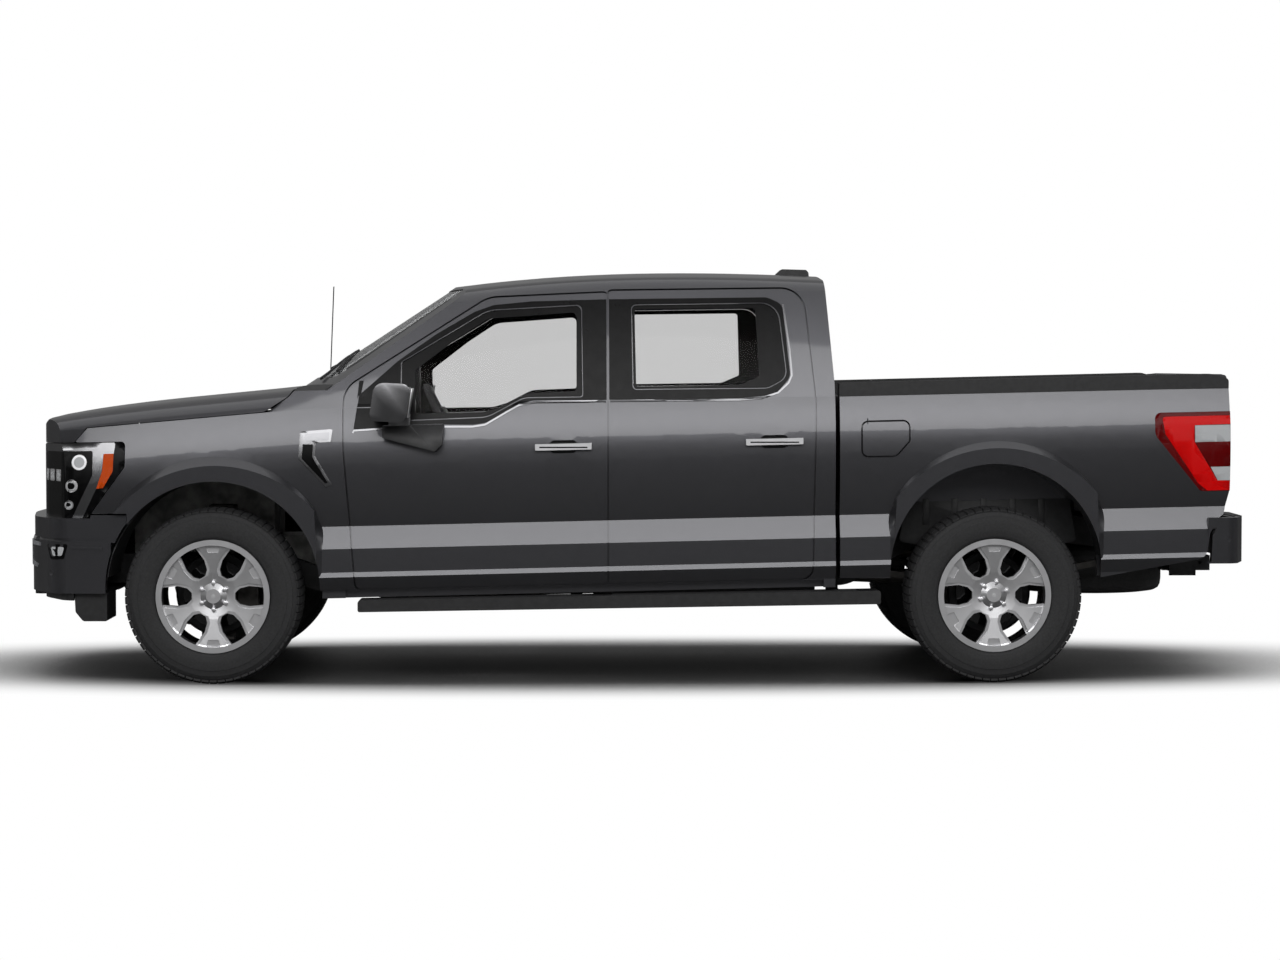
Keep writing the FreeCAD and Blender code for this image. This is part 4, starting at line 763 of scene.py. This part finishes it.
REAR_HOLE = mm([(-3, 1389, 20), (-9, 1795, 26), (693, 1790, 90), (731, 1430, 60), (641, 1381, 90)])
REAR_PANE = mm([(1, 1393, 20), (-5, 1791, 26), (689, 1786, 90), (727, 1431, 60), (639, 1385, 90)])
REAR_CLEAR = mm([(14, 1404, 14), (8, 1772, 16), (584, 1766, 18), (598, 1438, 14), (505, 1400, 30)])
FRONT_LIP = mm([(-1322, 1214), (-1318, 1226), (-1044, 1238), (-760, 1232), (-700, 1240), (-650, 1268),
                (-599, 1297), (-540, 1328), (-470, 1341), (-130, 1339)])
REAR_LIP = mm([(-110, 1339), (500, 1331), (610, 1337), (686, 1360), (736, 1405), (752, 1440),
               (744, 1560), (726, 1700), (716, 1780)])


def window_trim(end, side_name, side, black, hole, pane, clear_part, lip):
    """The black surround of a door's window, the dark band round its glass and the moulding under it."""
    tag = end + "_" + side_name
    surround = wrapped([black, hole], ["door_" + tag], side, 0.0014, 0.0028, 0.022)
    dress(surround, "window_surround_" + tag, GLOSS_BLACK, "door_" + tag)
    band = wrapped([pane, clear_part], ["glass_" + tag], side, 0.0004, 0.0012)
    dress(band, "glass_band_" + tag, GLOSS_BLACK, "door_" + tag)
    moulding = wrapped([ribbon(lip, 0.009)], ["door_" + tag], side, 0.002, 0.005, 0.03)
    dress(moulding, "window_moulding_" + tag, MOULDING, "door_" + tag)


for side_name, side in SIDES.items():
    window_trim("front", side_name, side, FRONT_BLACK, FRONT_HOLE, FRONT_PANE, FRONT_CLEAR, FRONT_LIP)
    window_trim("rear", side_name, side, REAR_BLACK, REAR_HOLE, REAR_PANE, REAR_CLEAR, REAR_LIP)


# Handles, mirrors and fuel door

def handle_details(tag, side):
    """The black plate in the cup behind a door handle, painted shade in the recess, and the dark line along
    it.
    """
    low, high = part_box("handle_" + tag)
    middle = (low.x + high.x) / 2
    z = low.z
    cup = rectangle(middle - 0.063, z - 0.012, middle + 0.063, z + 0.044, 0.022)
    # Painted shade: a black plate at the bottom of the handle's cup darkens the recess.
    cup_shade_plate = plate([cup], side * 0.9495, side * 0.9515)
    dress(cup_shade_plate, "handle_cup_" + tag, BLACK_PLASTIC, "door_" + tag)
    face = side * 1.0095
    line = block((low.x + 0.02, face - 0.0012, z + 0.012), (high.x - 0.02, face + 0.0012, z + 0.0185), 0.0006)
    dress(line, "handle_line_" + tag, GLOSS_BLACK, "door_" + tag)


def mirror_details(side_name, side):
    """The bright cap, black foot, dark lamp and glass of a door mirror."""
    node = "mirror_" + side_name
    body = "door_front_" + side_name
    y0, y1 = sorted((side * 1.012, side * 1.25))
    region = rectangle(-1.30, 1.246, -0.80, 1.65)
    cap = piece_of(node, through(region, y0, y1))
    apply(cap, "BEVEL", width=0.008, segments=3, limit_method="ANGLE", angle_limit=math.radians(50))
    dress(cap, "mirror_cap_" + side_name, SHADED_CHROME, body)
    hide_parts(node)
    foot = tidy(copy_of(NODES[node]))
    foot = cut_with(foot, through(region, y0, y1))
    dress(foot, "mirror_foot_" + side_name, BLACK_PLASTIC, body)
    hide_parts(node)
    lamp = plate([raised(mm([(-1226, 1300, 12), (-1168, 1300, 12), (-1168, 1376, 12), (-1216, 1376, 12)]))],
                 side * 1.2036, side * 1.2048)
    dress(lamp, "mirror_lamp_" + side_name, GLOSS_BLACK, body)
    glass = plate([raised(mm([(-1056, 1284), (-1052, 1284), (-1031, 1420), (-1035, 1420)]))],
                  side * 1.035, side * 1.185, 0.001)
    dress(glass, "mirror_glass_" + side_name, CHROME, body)


for side_name, side in SIDES.items():
    for end in ("front", "rear"):
        handle_details(end + "_" + side_name, side)
    mirror_details(side_name, side)
latch = wrapped([mm(rectangle(1279, 1113, 1302, 1147, 5))], ["fuel_door"], -1, 0.0008, 0.002)
dress(latch, "fuel_door_latch", MOULDING, "fuel_door")


# Fender vents

VENT = mm([(-1571, 1227, 14), (-1417, 1236, 5), (-1425, 1174, 5), (-1494, 1174, 5), (-1499, 1111, 12),
           (-1419, 974, 4), (-1448, 963, 4), (-1578, 1098, 20)])
VENT_MESH = mm([(-1557, 1168), (-1508, 1166), (-1512, 1108, 10), (-1440, 984), (-1452, 982),
                (-1562, 1100, 14)])
VENT_PLATE = mm([(-1549, 1216, 4), (-1431, 1222, 4), (-1435, 1186, 4), (-1549, 1183, 4)])

for side_name, side in SIDES.items():
    vent = wrapped([VENT], ["fenders"], side, 0.002, 0.006)
    apply(vent, "BEVEL", width=0.0015, segments=2, limit_method="ANGLE", angle_limit=math.radians(50))
    dress(vent, "fender_vent_" + side_name, SHADED_CHROME, "chassis")
    mesh = wrapped([VENT_MESH], ["fenders"], side, 0.0052, 0.0012)
    dress(mesh, "vent_mesh_" + side_name, GLOSS_BLACK, "chassis")
    blank = wrapped([VENT_PLATE], ["fenders"], side, 0.0052, 0.0012)
    dress(blank, "vent_plate_" + side_name, MOULDING, "chassis")


# Lamps

LAMP_C = mm([(-2960, 1200), (-2440, 1200, 16), (-2448, 1143), (-2497, 1143), (-2503, 1062),
             (-2531, 978), (-2600, 840), (-2650, 840), (-2548, 1044, 30), (-2548, 1158, 10),
             (-2960, 1158)])
LAMP_AMBER = mm([(-2496, 1143), (-2449, 1143), (-2452, 1060, 20), (-2498, 982), (-2530, 980), (-2502, 1062)])
TAIL_RED = mm([(2505, 1206, 14), (2856, 1206), (2856, 1166), (2657, 1164, 8), (2657, 1085, 30),
               (2769, 899, 6), (2856, 895), (2856, 852), (2722, 852, 16), (2676, 890, 30),
               (2520, 1122, 30)])
TAIL_CLEAR = mm(rectangle(2661, 1162, 2856, 1083))
TAIL_LOW = mm([(2736, 964), (2856, 964), (2856, 899), (2771, 899)])


LENS_SHARE = 0.7


def headlamp(side_name, side):
    """One headlamp: bright C form, amber marker and dark housing with its projectors."""
    y0, y1 = sorted((side * 0.5, side * 1.1))
    clear_c = piece_of("headlamps", through(LAMP_C, y0, y1))
    dress(clear_c, "headlamp_c_" + side_name, SHADED_CHROME, "chassis", 15)
    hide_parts("headlamps")
    marker = piece_of("headlamps", through(LAMP_AMBER, y0, y1))
    dress(marker, "headlamp_marker_" + side_name, AMBER, "chassis")
    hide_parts("headlamps")
    housing = piece_of("headlamps", block((-3.0, y0, 0.5), (-2.2, y1, 1.4)))
    cut_with(housing, through(LAMP_C, y0, y1))
    cut_with(housing, through(LAMP_AMBER, y0, y1))
    dress(tidy(housing), "headlamp_housing_" + side_name, LAMP_DARK, "chassis", 15)
    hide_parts("headlamps")
    frames = []
    lenses = []
    for x, z, size in ((-2.612, 1.105, 0.036), (-2.648, 0.995, 0.030), (-2.662, 0.905, 0.022)):
        disc = circle(x, z, size, 20)
        inner = circle(x, z, size * LENS_SHARE, 20)
        frames.append(wrapped([disc, inner], ["headlamps"], side, 0.0004, 0.0016))
        lenses.append(wrapped([inner], ["headlamps"], side, 0.0002, 0.001))
    for y in (0.70, 0.78, 0.86):
        middle = side * y
        z = 0.985
        half = 0.028
        low = rectangle(middle - half, z - half, middle + half, z + half, 0.006)
        half = half * LENS_SHARE
        inner = rectangle(middle - half, z - half, middle + half, z + half, 0.004)
        frames.append(faced([low, inner], ["headlamps"], "front", 0.0004, 0.0016))
        lenses.append(faced([inner], ["headlamps"], "front", 0.0002, 0.001))
    dress(joined(frames), "headlamp_rings_" + side_name, CHROME, "chassis")
    dress(joined(lenses), "headlamp_lenses_" + side_name, CLEAR_RIBBED, "chassis")


def tail_lamp(side_name, side):
    """One tail lamp: bright red C form, clear blocks and a dark red housing."""
    y0, y1 = sorted((side * 0.5, side * 1.1))
    red = piece_of("tail_lamps", through(TAIL_RED, y0, y1))
    dress(red, "tail_lamp_red_" + side_name, RED, "chassis")
    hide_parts("tail_lamps")
    window = piece_of("tail_lamps", through(TAIL_CLEAR, y0, y1))
    low = piece_of("tail_lamps", through(TAIL_LOW, y0, y1))
    window = joined([window, low])
    dress(window, "tail_lamp_clear_" + side_name, CLEAR_RIBBED, "chassis")
    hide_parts("tail_lamps")
    housing = piece_of("tail_lamps", block((2.3, y0, 0.7), (3.0, y1, 1.5)))
    for outline in (TAIL_RED, TAIL_CLEAR, TAIL_LOW):
        cut_with(housing, through(outline, y0, y1))
    dress(tidy(housing), "tail_lamp_housing_" + side_name, DARK_RED, "chassis")
    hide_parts("tail_lamps")


for side_name, side in SIDES.items():
    headlamp(side_name, side)
    tail_lamp(side_name, side)
stop = piece_of("tail_lamps", block((0.8, -0.3, 1.8), (1.1, 0.3, 2.0)))
dress(stop, "high_stop_lamp", RED, "chassis")
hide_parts("tail_lamps")


# Front end

def nose_x(y):
    """Where the grille's front stands at a width."""
    return -2.866 + 0.148 * y * y


def grille_details():
    """Upright fins behind the grille's bars and the dark mesh of the lower opening."""
    fins = []
    for k in range(-27, 28):
        y = k * 0.0215
        x = nose_x(y) + 0.045
        fins.append(block((x, y - 0.002, 0.835), (x + 0.012, y + 0.002, 1.075)))
    dress(joined(fins), "grille_fins", BLACK_PLASTIC, "chassis")
    slats = []
    for k in range(5):
        z = 0.515 + 0.026 * k
        slats.append(block((-2.895, -0.555, z - 0.003), (-2.885, 0.555, z + 0.003)))
    for k in range(-20, 21):
        y = k * 0.027
        slats.append(block((-2.893, y - 0.003, 0.502), (-2.887, y + 0.003, 0.638)))
    dress(joined(slats), "lower_mesh", BLACK_PLASTIC, "chassis")


def bumper_details(side_name, side):
    """Fog lamp, step line, sensors and corner strut of the front bumper."""
    body = "chassis"
    bezel = mm([(-2772, 722, 8), (-2664, 722, 8), (-2684, 652, 12), (-2750, 648, 12)])
    lens = mm([(-2750, 710, 6), (-2682, 708, 6), (-2694, 668, 8), (-2740, 668, 8)])
    fog_bezel = wrapped([bezel], ["front_bumper"], side, 0.001, 0.003)
    dress(fog_bezel, "fog_bezel_" + side_name, GLOSS_BLACK, body)
    fog_lens = wrapped([lens], ["front_bumper"], side, 0.003, 0.002)
    dress(fog_lens, "fog_lens_" + side_name, CLEAR_RIBBED, body)
    step = wrapped([ribbon(mm([(-2650, 704), (-2449, 697)]), 0.012)], ["front_bumper"], side, 0.002, 0.006)
    dress(step, "bumper_step_" + side_name, PAINT, body)
    dots = []
    for x, z in ((-2.504, 0.604), (-2.749, 0.586)):
        dots.append(wrapped([circle(x, z, 0.012, 16)], ["front_bumper"], side, 0.0008, 0.002))
    dress(joined(dots), "bumper_sensors_" + side_name, PAINT, body)
    form = [(0.60, 0.672), (0.80, 0.664), (0.80, 0.648), (0.640, 0.650), (0.625, 0.580), (0.770, 0.560),
            (0.765, 0.545), (0.596, 0.556)]
    form = [(side * y, z) for y, z in form]
    strut = faced([form], ["front_bumper"], "front", 0.002, 0.007)
    dress(strut, "bumper_strut_" + side_name, STRUT_GREY, body)


def wiper(name, pivot, tip, mid):
    """A wiper arm with its blade lying on the windscreen."""
    arm = topped([ribbon([pivot, mid], 0.016)], ["cab_glass", "cowl", "cab_shell"], 0.014, 0.010)
    start = Vector(mid) - (Vector(tip) - Vector(mid))
    blade = topped([ribbon([tuple(start), tip], 0.012)], ["cab_glass"], 0.008, 0.012)
    dress(joined([arm, blade]), name, BLACK_PLASTIC, "chassis")


grille_details()
for side_name, side in SIDES.items():
    bumper_details(side_name, side)
wiper("wiper_left", (-1.50, -0.58), (-1.36, -0.03), (-1.39, -0.32))
wiper("wiper_right", (-1.50, 0.06), (-1.36, 0.60), (-1.39, 0.32))
bands = []
for side in SIDES.values():
    line = [(-1.372, side * 0.684), (-1.10, side * 0.655), (-0.835, side * 0.622)]
    bands.append(topped([ribbon(line, 0.05)], ["cab_glass"], 0.0006, 0.0012))
dress(joined(bands), "windscreen_bands", GLOSS_BLACK, "chassis")


# Load bed and rear end

BED_FLOOR = 0.856


def bed_details():
    """Ribs pressed in the load floor, and the panels inside the bed behind the tail lamps."""
    ribs = []
    for k in range(-7, 8):
        y = k * 0.085
        front = lift(1.05, BED_FLOOR)
        rear = lift(2.70, BED_FLOOR)
        outline = [(1.05, front - 0.002), (2.70, rear - 0.002), (2.70, rear + 0.008), (1.05, front + 0.008)]
        ribs.append(plate([outline], y - 0.02, y + 0.02, 0.005))
    dress(joined(ribs), "bed_floor_ribs", PAINT, "chassis")
    lamps = NODES["tail_lamps"]
    places = [lamps.matrix_world @ vertex.co for vertex in lamps.data.vertices]
    inner = min(abs(place.y) for place in places if place.x > 2.0)
    outline = [(2.440, 0.880, 0.03), (2.752, 0.880, 0.008), (2.752, 1.300, 0.008), (2.440, 1.300, 0.03)]
    for side_name, side in SIDES.items():
        y0, y1 = sorted((side * (inner - 0.0045), side * (inner - 0.0010)))
        cover = plate([outline], y0, y1, 0.0012)
        dress(cover, "bed_inner_panel_" + side_name, PAINT, "chassis")


def tailgate_details():
    """The grip's bezel, the pressed panel and the top moulding of the tailgate."""
    outer = [(-0.66, 0.985, 0.04), (0.66, 0.985, 0.04), (0.70, 1.20, 0.04), (-0.70, 1.20, 0.04)]
    inner = [(-0.645, 1.0, 0.03), (0.645, 1.0, 0.03), (0.684, 1.186, 0.03), (-0.684, 1.186, 0.03)]
    panel = faced([outer, inner], ["tailgate"], "rear", 0.0008, 0.003)
    dress(panel, "tailgate_crease", PAINT, "tailgate")
    outer = rectangle(-0.155, 1.236, 0.155, 1.328, 0.02)
    inner = rectangle(-0.142, 1.249, 0.142, 1.315, 0.012)
    bezel = faced([outer, inner], ["tailgate"], "rear", 0.001, 0.004)
    dress(bezel, "tailgate_bezel", BLACK_PLASTIC, "tailgate")
    cap = topped([rectangle(2.765, -0.82, 2.835, 0.82)], ["tailgate"], 0.001, 0.004)
    dress(cap, "tailgate_top", BLACK_PLASTIC, "tailgate")


def rear_bumper_details():
    """Step pads, blank plate and sensors of the rear bumper."""
    pads = []
    for y0, y1 in ((-0.93, -0.46), (0.46, 0.93), (-0.40, 0.40)):
        pads.append(topped([rectangle(2.862, y0, 2.918, y1, 0.01)], ["rear_bumper"], 0.001, 0.003))
    dress(joined(pads), "bumper_step_pads", BLACK_PLASTIC, "chassis")
    outline = rectangle(-0.1525, 0.600, 0.1525, 0.752, 0.008)
    plate_form = faced([outline], ["rear_bumper"], "rear", -0.0009, 0.002)
    dress(plate_form, "blank_plate", MOULDING, "chassis")
    for side_name, side in SIDES.items():
        dot = wrapped([circle(2.822, 0.618, 0.011, 16)], ["rear_bumper"], side, 0.0008, 0.002)
        dress(dot, "rear_sensor_" + side_name, PAINT, "chassis")


def board_details(side_name, side):
    """Ribbed tread pads on a running board."""
    strips = []
    for x0, x1 in ((-1.20, -0.24), (-0.10, 1.06)):
        for k in range(5):
            y = 0.888 + 0.022 * k
            y0, y1 = sorted((side * (y - 0.007), side * (y + 0.007)))
            strips.append(topped([rectangle(x0, y0, x1, y1)], ["running_boards"], 0.0005, 0.003, 0.5))
    dress(joined(strips), "board_pads_" + side_name, RUBBER, "chassis")


bed_details()
tailgate_details()
rear_bumper_details()
for side_name, side in SIDES.items():
    board_details(side_name, side)


# Cabin

def door_trim(end, side_name, side, x0, x1):
    """Armrest and inner pull handle on a door's inside."""
    tag = end + "_" + side_name
    inside = side * 0.878
    out = side * 0.80
    rest = block((x0, min(inside, out), 0.905), (x1, max(inside, out), 0.955), 0.014, 3)
    dress(rest, "door_armrest_" + tag, DARK_TRIM, "door_" + tag)
    y0, y1 = sorted((side * 0.876, side * 0.862))
    pull = block((x0 + 0.06, y0, 1.07), (x0 + 0.17, y1, 1.10), 0.004)
    dress(pull, "door_inner_handle_" + tag, CHROME, "door_" + tag)


def dashboard_details():
    """The instrument hood, screen, air vents, inner mirror and the pad of the steering wheel."""
    outline = [(-1.300, 1.270), (-1.280, 1.330, 0.03), (-1.120, 1.352, 0.012), (-1.112, 1.336, 0.006),
               (-1.170, 1.300, 0.02), (-1.170, 1.262)]
    hood_form = plate([outline], -0.610, -0.270, 0.006)
    dress(hood_form, "instrument_hood", DARK_TRIM, "chassis")
    screen = block((-1.104, -0.165, 1.085), (-1.084, 0.165, 1.330), 0.008, 3)
    dress(screen, "centre_screen", GLOSS_BLACK, "chassis")
    slats = []
    for y in (-0.700, -0.230, 0.230, 0.700):
        frame_form = rectangle(y - 0.055, 1.165, y + 0.055, 1.235, 0.014)
        hole = rectangle(y - 0.047, 1.172, y + 0.047, 1.228, 0.010)
        slats.append(faced([frame_form, hole], ["dashboard"], "rear", 0.001, 0.006))
        for k in range(4):
            z = 1.179 + 0.014 * k
            low = rectangle(y - 0.047, z - 0.0015, y + 0.047, z + 0.0015)
            slats.append(faced([low], ["dashboard"], "rear", 0.001, 0.004))
    dress(joined(slats), "dash_air_vents", BLACK_PLASTIC, "chassis")
    glass = block((-0.955, -0.125, 1.665), (-0.925, 0.125, 1.730), 0.012, 3)
    stem = bar((-0.960, 0, 1.725), (-0.985, 0, 1.765), 0.008)
    dress(joined([glass, stem]), "inner_mirror", BLACK_PLASTIC, "chassis")
    pad = block((0.020, -0.075, -0.062), (0.036, 0.075, 0.058), 0.012, 3)
    pad.rotation_euler.y = -math.atan2(109, 228)
    settle(pad)
    pad.location = (-0.922, -0.440, 1.239)
    settle(pad)
    dress(pad, "steering_pad", DARK_TRIM, "steering_wheel")


dashboard_details()
for side_name, side in SIDES.items():
    door_trim("front", side_name, side, -0.92, -0.30)
    door_trim("rear", side_name, side, 0.02, 0.60)


# Seats

def cushion_block(corners, y0, y1, rounding):
    """A plain closed cushion form with softened edges."""
    obj = plate([[(x, lift(x, z), 0.02) for x, z in corners]], y0, y1)
    apply(obj, "BEVEL", width=rounding, segments=3, limit_method="ANGLE", angle_limit=math.radians(30))
    return obj


AIR_STEPS = 14


def padded(obj, name, voxel, swell, node=None):
    """Fill a cushion with air pressure, held to a small swell."""
    apply(obj, "REMESH", mode="VOXEL", voxel_size=voxel, use_smooth_shade=True)
    rest = [v.co.copy() for v in obj.data.vertices]
    pick(obj)
    cloth = obj.modifiers.new("air", "CLOTH")
    cloth.settings.use_pressure = True
    cloth.settings.uniform_pressure_force = 4.0
    cloth.settings.effector_weights.gravity = 0.0
    cloth.settings.quality = 4
    for step in range(1, AIR_STEPS + 1):
        bpy.context.scene.frame_set(step)
    bpy.ops.object.modifier_apply(modifier="air")
    bpy.context.scene.frame_set(1)
    for vertex, start in zip(obj.data.vertices, rest):
        move = vertex.co - start
        if move.length > swell:
            vertex.co = start + move.normalized() * swell
    dress(obj, name, CLOTH, "chassis", 60)
    if node:
        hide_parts(node)
    return obj


CUSHION = [(-0.746, 0.730), (-0.276, 0.730), (-0.290, 0.836), (-0.746, 0.852)]
BACK = [(-0.240, 0.760), (-0.146, 0.760), (-0.046, 1.405), (-0.136, 1.412), (-0.252, 0.890)]
HEAD = [(-0.130, 1.456), (-0.056, 1.452), (-0.030, 1.606), (-0.092, 1.614)]
REAR_CUSHION = [(0.206, 0.732), (0.704, 0.732), (0.686, 0.856), (0.206, 0.866)]
REAR_BACK = [(0.742, 0.760), (0.844, 0.760), (0.844, 1.404), (0.760, 1.404), (0.724, 0.900)]
REAR_HEAD = [(0.768, 1.437), (0.836, 1.437), (0.836, 1.576), (0.780, 1.576)]
SEAT_Y = 0.440
SEAT_HALF = 0.212
for side_name, side in SIDES.items():
    y = side * SEAT_Y
    for name, corners, half, rounding, voxel, swell, fill, node in (
        ("seat_cushion_", CUSHION, SEAT_HALF, 0.03, 0.012, 0.012, 0.6, "front_seats"),
        ("seat_back_", BACK, SEAT_HALF, 0.025, 0.012, 0.012, 0.6, "front_seats"),
        ("seat_head_", HEAD, 0.115, 0.018, 0.010, 0.008, 0.7, "front_seats"),
        ("rear_head_", REAR_HEAD, 0.11, 0.018, 0.010, 0.008, 0.7, "rear_seat"),
    ):
        form = cushion_block(corners, y - half, y + half, rounding)
        padded(form, name + side_name, voxel, swell, node)
    base = block((-0.70, y - 0.18, 0.575), (-0.30, y + 0.18, 0.712), 0.012)
    dress(base, "seat_base_" + side_name, DARK_TRIM, "chassis")
    posts = joined([bar((-0.105, y + d, 1.36), (-0.095, y + d, 1.50), 0.006) for d in (-0.05, 0.05)])
    dress(posts, "seat_posts_" + side_name, CHROME, "chassis")
padded(cushion_block(REAR_CUSHION, -0.684, 0.684, 0.03), "rear_cushion", 0.014, 0.012, "rear_seat")
padded(cushion_block(REAR_BACK, -0.684, 0.684, 0.025), "rear_back", 0.014, 0.012, "rear_seat")
rear_base = block((0.27, -0.62, 0.62), (0.63, 0.62, 0.715), 0.012)
dress(rear_base, "rear_seat_base", DARK_TRIM, "chassis")


# Floor, light and camera

def studio():
    """A pale floor that fades to white, with painted shadow round the truck and a painted darker reflection;
    soft light and a white surround.
    """
    clear()
    bpy.ops.mesh.primitive_plane_add(size=160, location=(0, 0, -0.0005))
    floor = bpy.context.object
    floor.name = "floor"
    made = Finish("pale_floor", shade(236, 236, 236), 0.6)
    tree = made.tree
    out = tree.nodes["Material Output"]
    rays = made.node("ShaderNodeLightPath")
    seen = made.node("ShaderNodeMath", operation="MAXIMUM")
    made.link(rays.outputs["Is Camera Ray"], seen.inputs[0])
    made.link(rays.outputs["Is Transmission Ray"], seen.inputs[1])
    length = made.node("ShaderNodeVectorMath", operation="LENGTH")
    squeeze = made.node("ShaderNodeMapping")
    squeeze.inputs["Scale"].default_value = (0.34, 1.0, 1.0)
    made.link(made.place, squeeze.inputs["Vector"])
    made.link(squeeze.outputs["Vector"], length.inputs[0])
    fade = made.node("ShaderNodeMapRange", interpolation_type="SMOOTHSTEP")
    fade.inputs["From Min"].default_value = 1.02
    fade.inputs["From Max"].default_value = 1.75
    made.link(length.outputs["Value"], fade.inputs["Value"])
    share = made.node("ShaderNodeMath", operation="MULTIPLY")
    made.link(fade.outputs["Result"], share.inputs[0])
    made.link(seen.outputs[0], share.inputs[1])
    white = made.node("ShaderNodeEmission")
    white.inputs["Color"].default_value = (1, 1, 1, 1)
    mix = made.node("ShaderNodeMixShader")
    made.link(share.outputs[0], mix.inputs["Fac"])
    made.link(made.shader.outputs[0], mix.inputs[1])
    made.link(white.outputs[0], mix.inputs[2])
    under = made.node("ShaderNodeNewGeometry")
    open_below = made.node("ShaderNodeBsdfTransparent")
    one_way = made.node("ShaderNodeMixShader")
    made.link(under.outputs["Backfacing"], one_way.inputs["Fac"])
    made.link(mix.outputs[0], one_way.inputs[1])
    made.link(open_below.outputs[0], one_way.inputs[2])
    made.link(one_way.outputs[0], out.inputs["Surface"])
    # Painted reflection: glossy rays see the floor as a mid grey, darker than it is lit.
    pale = made.node("ShaderNodeMix", data_type="RGBA")
    pale.inputs[6].default_value = shade(236, 236, 236)
    pale.inputs[7].default_value = shade(128, 128, 128)
    made.link(rays.outputs["Is Glossy Ray"], pale.inputs[0])
    # Painted shadow: ambient occlusion darkens the floor's colour under and beside the truck, on top of the
    # lamps' real shadow; the gamma darkens it further.
    painted_floor_shadow = made.node("ShaderNodeAmbientOcclusion", samples=8)
    painted_floor_shadow.inputs["Distance"].default_value = 1.1
    made.link(pale.outputs[2], painted_floor_shadow.inputs["Color"])
    deepened_floor_shadow = made.node("ShaderNodeGamma")
    deepened_floor_shadow.inputs["Gamma"].default_value = 2.2
    made.link(painted_floor_shadow.outputs["Color"], deepened_floor_shadow.inputs["Color"])
    made.link(deepened_floor_shadow.outputs["Color"], made.shader.inputs["Base Color"])
    floor.data.materials.append(made.material)

    world = bpy.data.worlds.new("studio")
    bpy.context.scene.world = world
    world.use_nodes = True
    nodes = world.node_tree.nodes
    links = world.node_tree.links
    nodes.clear()
    soft = nodes.new("ShaderNodeBackground")
    soft.inputs["Color"].default_value = (1, 1, 1, 1)
    soft.inputs["Strength"].default_value = 0.22
    bright = nodes.new("ShaderNodeBackground")
    bright.inputs["Color"].default_value = (1, 1, 1, 1)
    bright.inputs["Strength"].default_value = 1.0
    rays = nodes.new("ShaderNodeLightPath")
    first = nodes.new("ShaderNodeMath")
    first.operation = "MAXIMUM"
    links.new(rays.outputs["Is Camera Ray"], first.inputs[0])
    links.new(rays.outputs["Is Transmission Ray"], first.inputs[1])
    mix = nodes.new("ShaderNodeMixShader")
    links.new(first.outputs[0], mix.inputs["Fac"])
    links.new(soft.outputs[0], mix.inputs[1])
    links.new(bright.outputs[0], mix.inputs[2])
    out = nodes.new("ShaderNodeOutputWorld")
    links.new(mix.outputs[0], out.inputs["Surface"])

    for place, aim, size, power, mirrored_in_paint in (
        ((0, 0, 7.0), (0, 0, 0), (10.0, 4.0), 420.0, False),
        ((0, 0, 6.8), (0, 0, 0), (14.0, 7.0), 200.0, True),
        ((0, -9.0, 5.2), (0, 0, 0.9), (13.0, 3.4), 560.0, True),
        ((0, 9.0, 5.2), (0, 0, 0.9), (13.0, 3.4), 260.0, False),
        ((-12.0, 0, 3.6), (0, 0, 0.8), (6.0, 2.4), 100.0, True),
        ((12.0, 0, 3.6), (0, 0, 0.8), (6.0, 2.4), 80.0, True),
    ):
        data = bpy.data.lights.new("softbox", "AREA")
        data.shape = "RECTANGLE"
        data.size, data.size_y = size
        data.energy = power
        lamp = bpy.data.objects.new("softbox", data)
        lamp.visible_glossy = mirrored_in_paint
        bpy.context.scene.collection.objects.link(lamp)
        lamp.location = place
        lamp.rotation_euler = (Vector(aim) - Vector(place)).to_track_quat("-Z", "Y").to_euler()


def set_camera():
    """The camera stands level with the windows, far out on the left side."""
    data = bpy.data.cameras.new("camera")
    data.lens = 85.2
    data.sensor_width = 36.0
    camera = bpy.data.objects.new("camera", data)
    bpy.context.scene.collection.objects.link(camera)
    place = Vector((-0.2755, -15.256, 1.509))
    aim = Vector((0.030, -0.996, 0.965))
    camera.location = place
    camera.rotation_euler = (aim - place).to_track_quat("-Z", "Y").to_euler()
    bpy.context.scene.camera = camera


studio()
set_camera()
bpy.context.scene.view_settings.view_transform = "Standard"
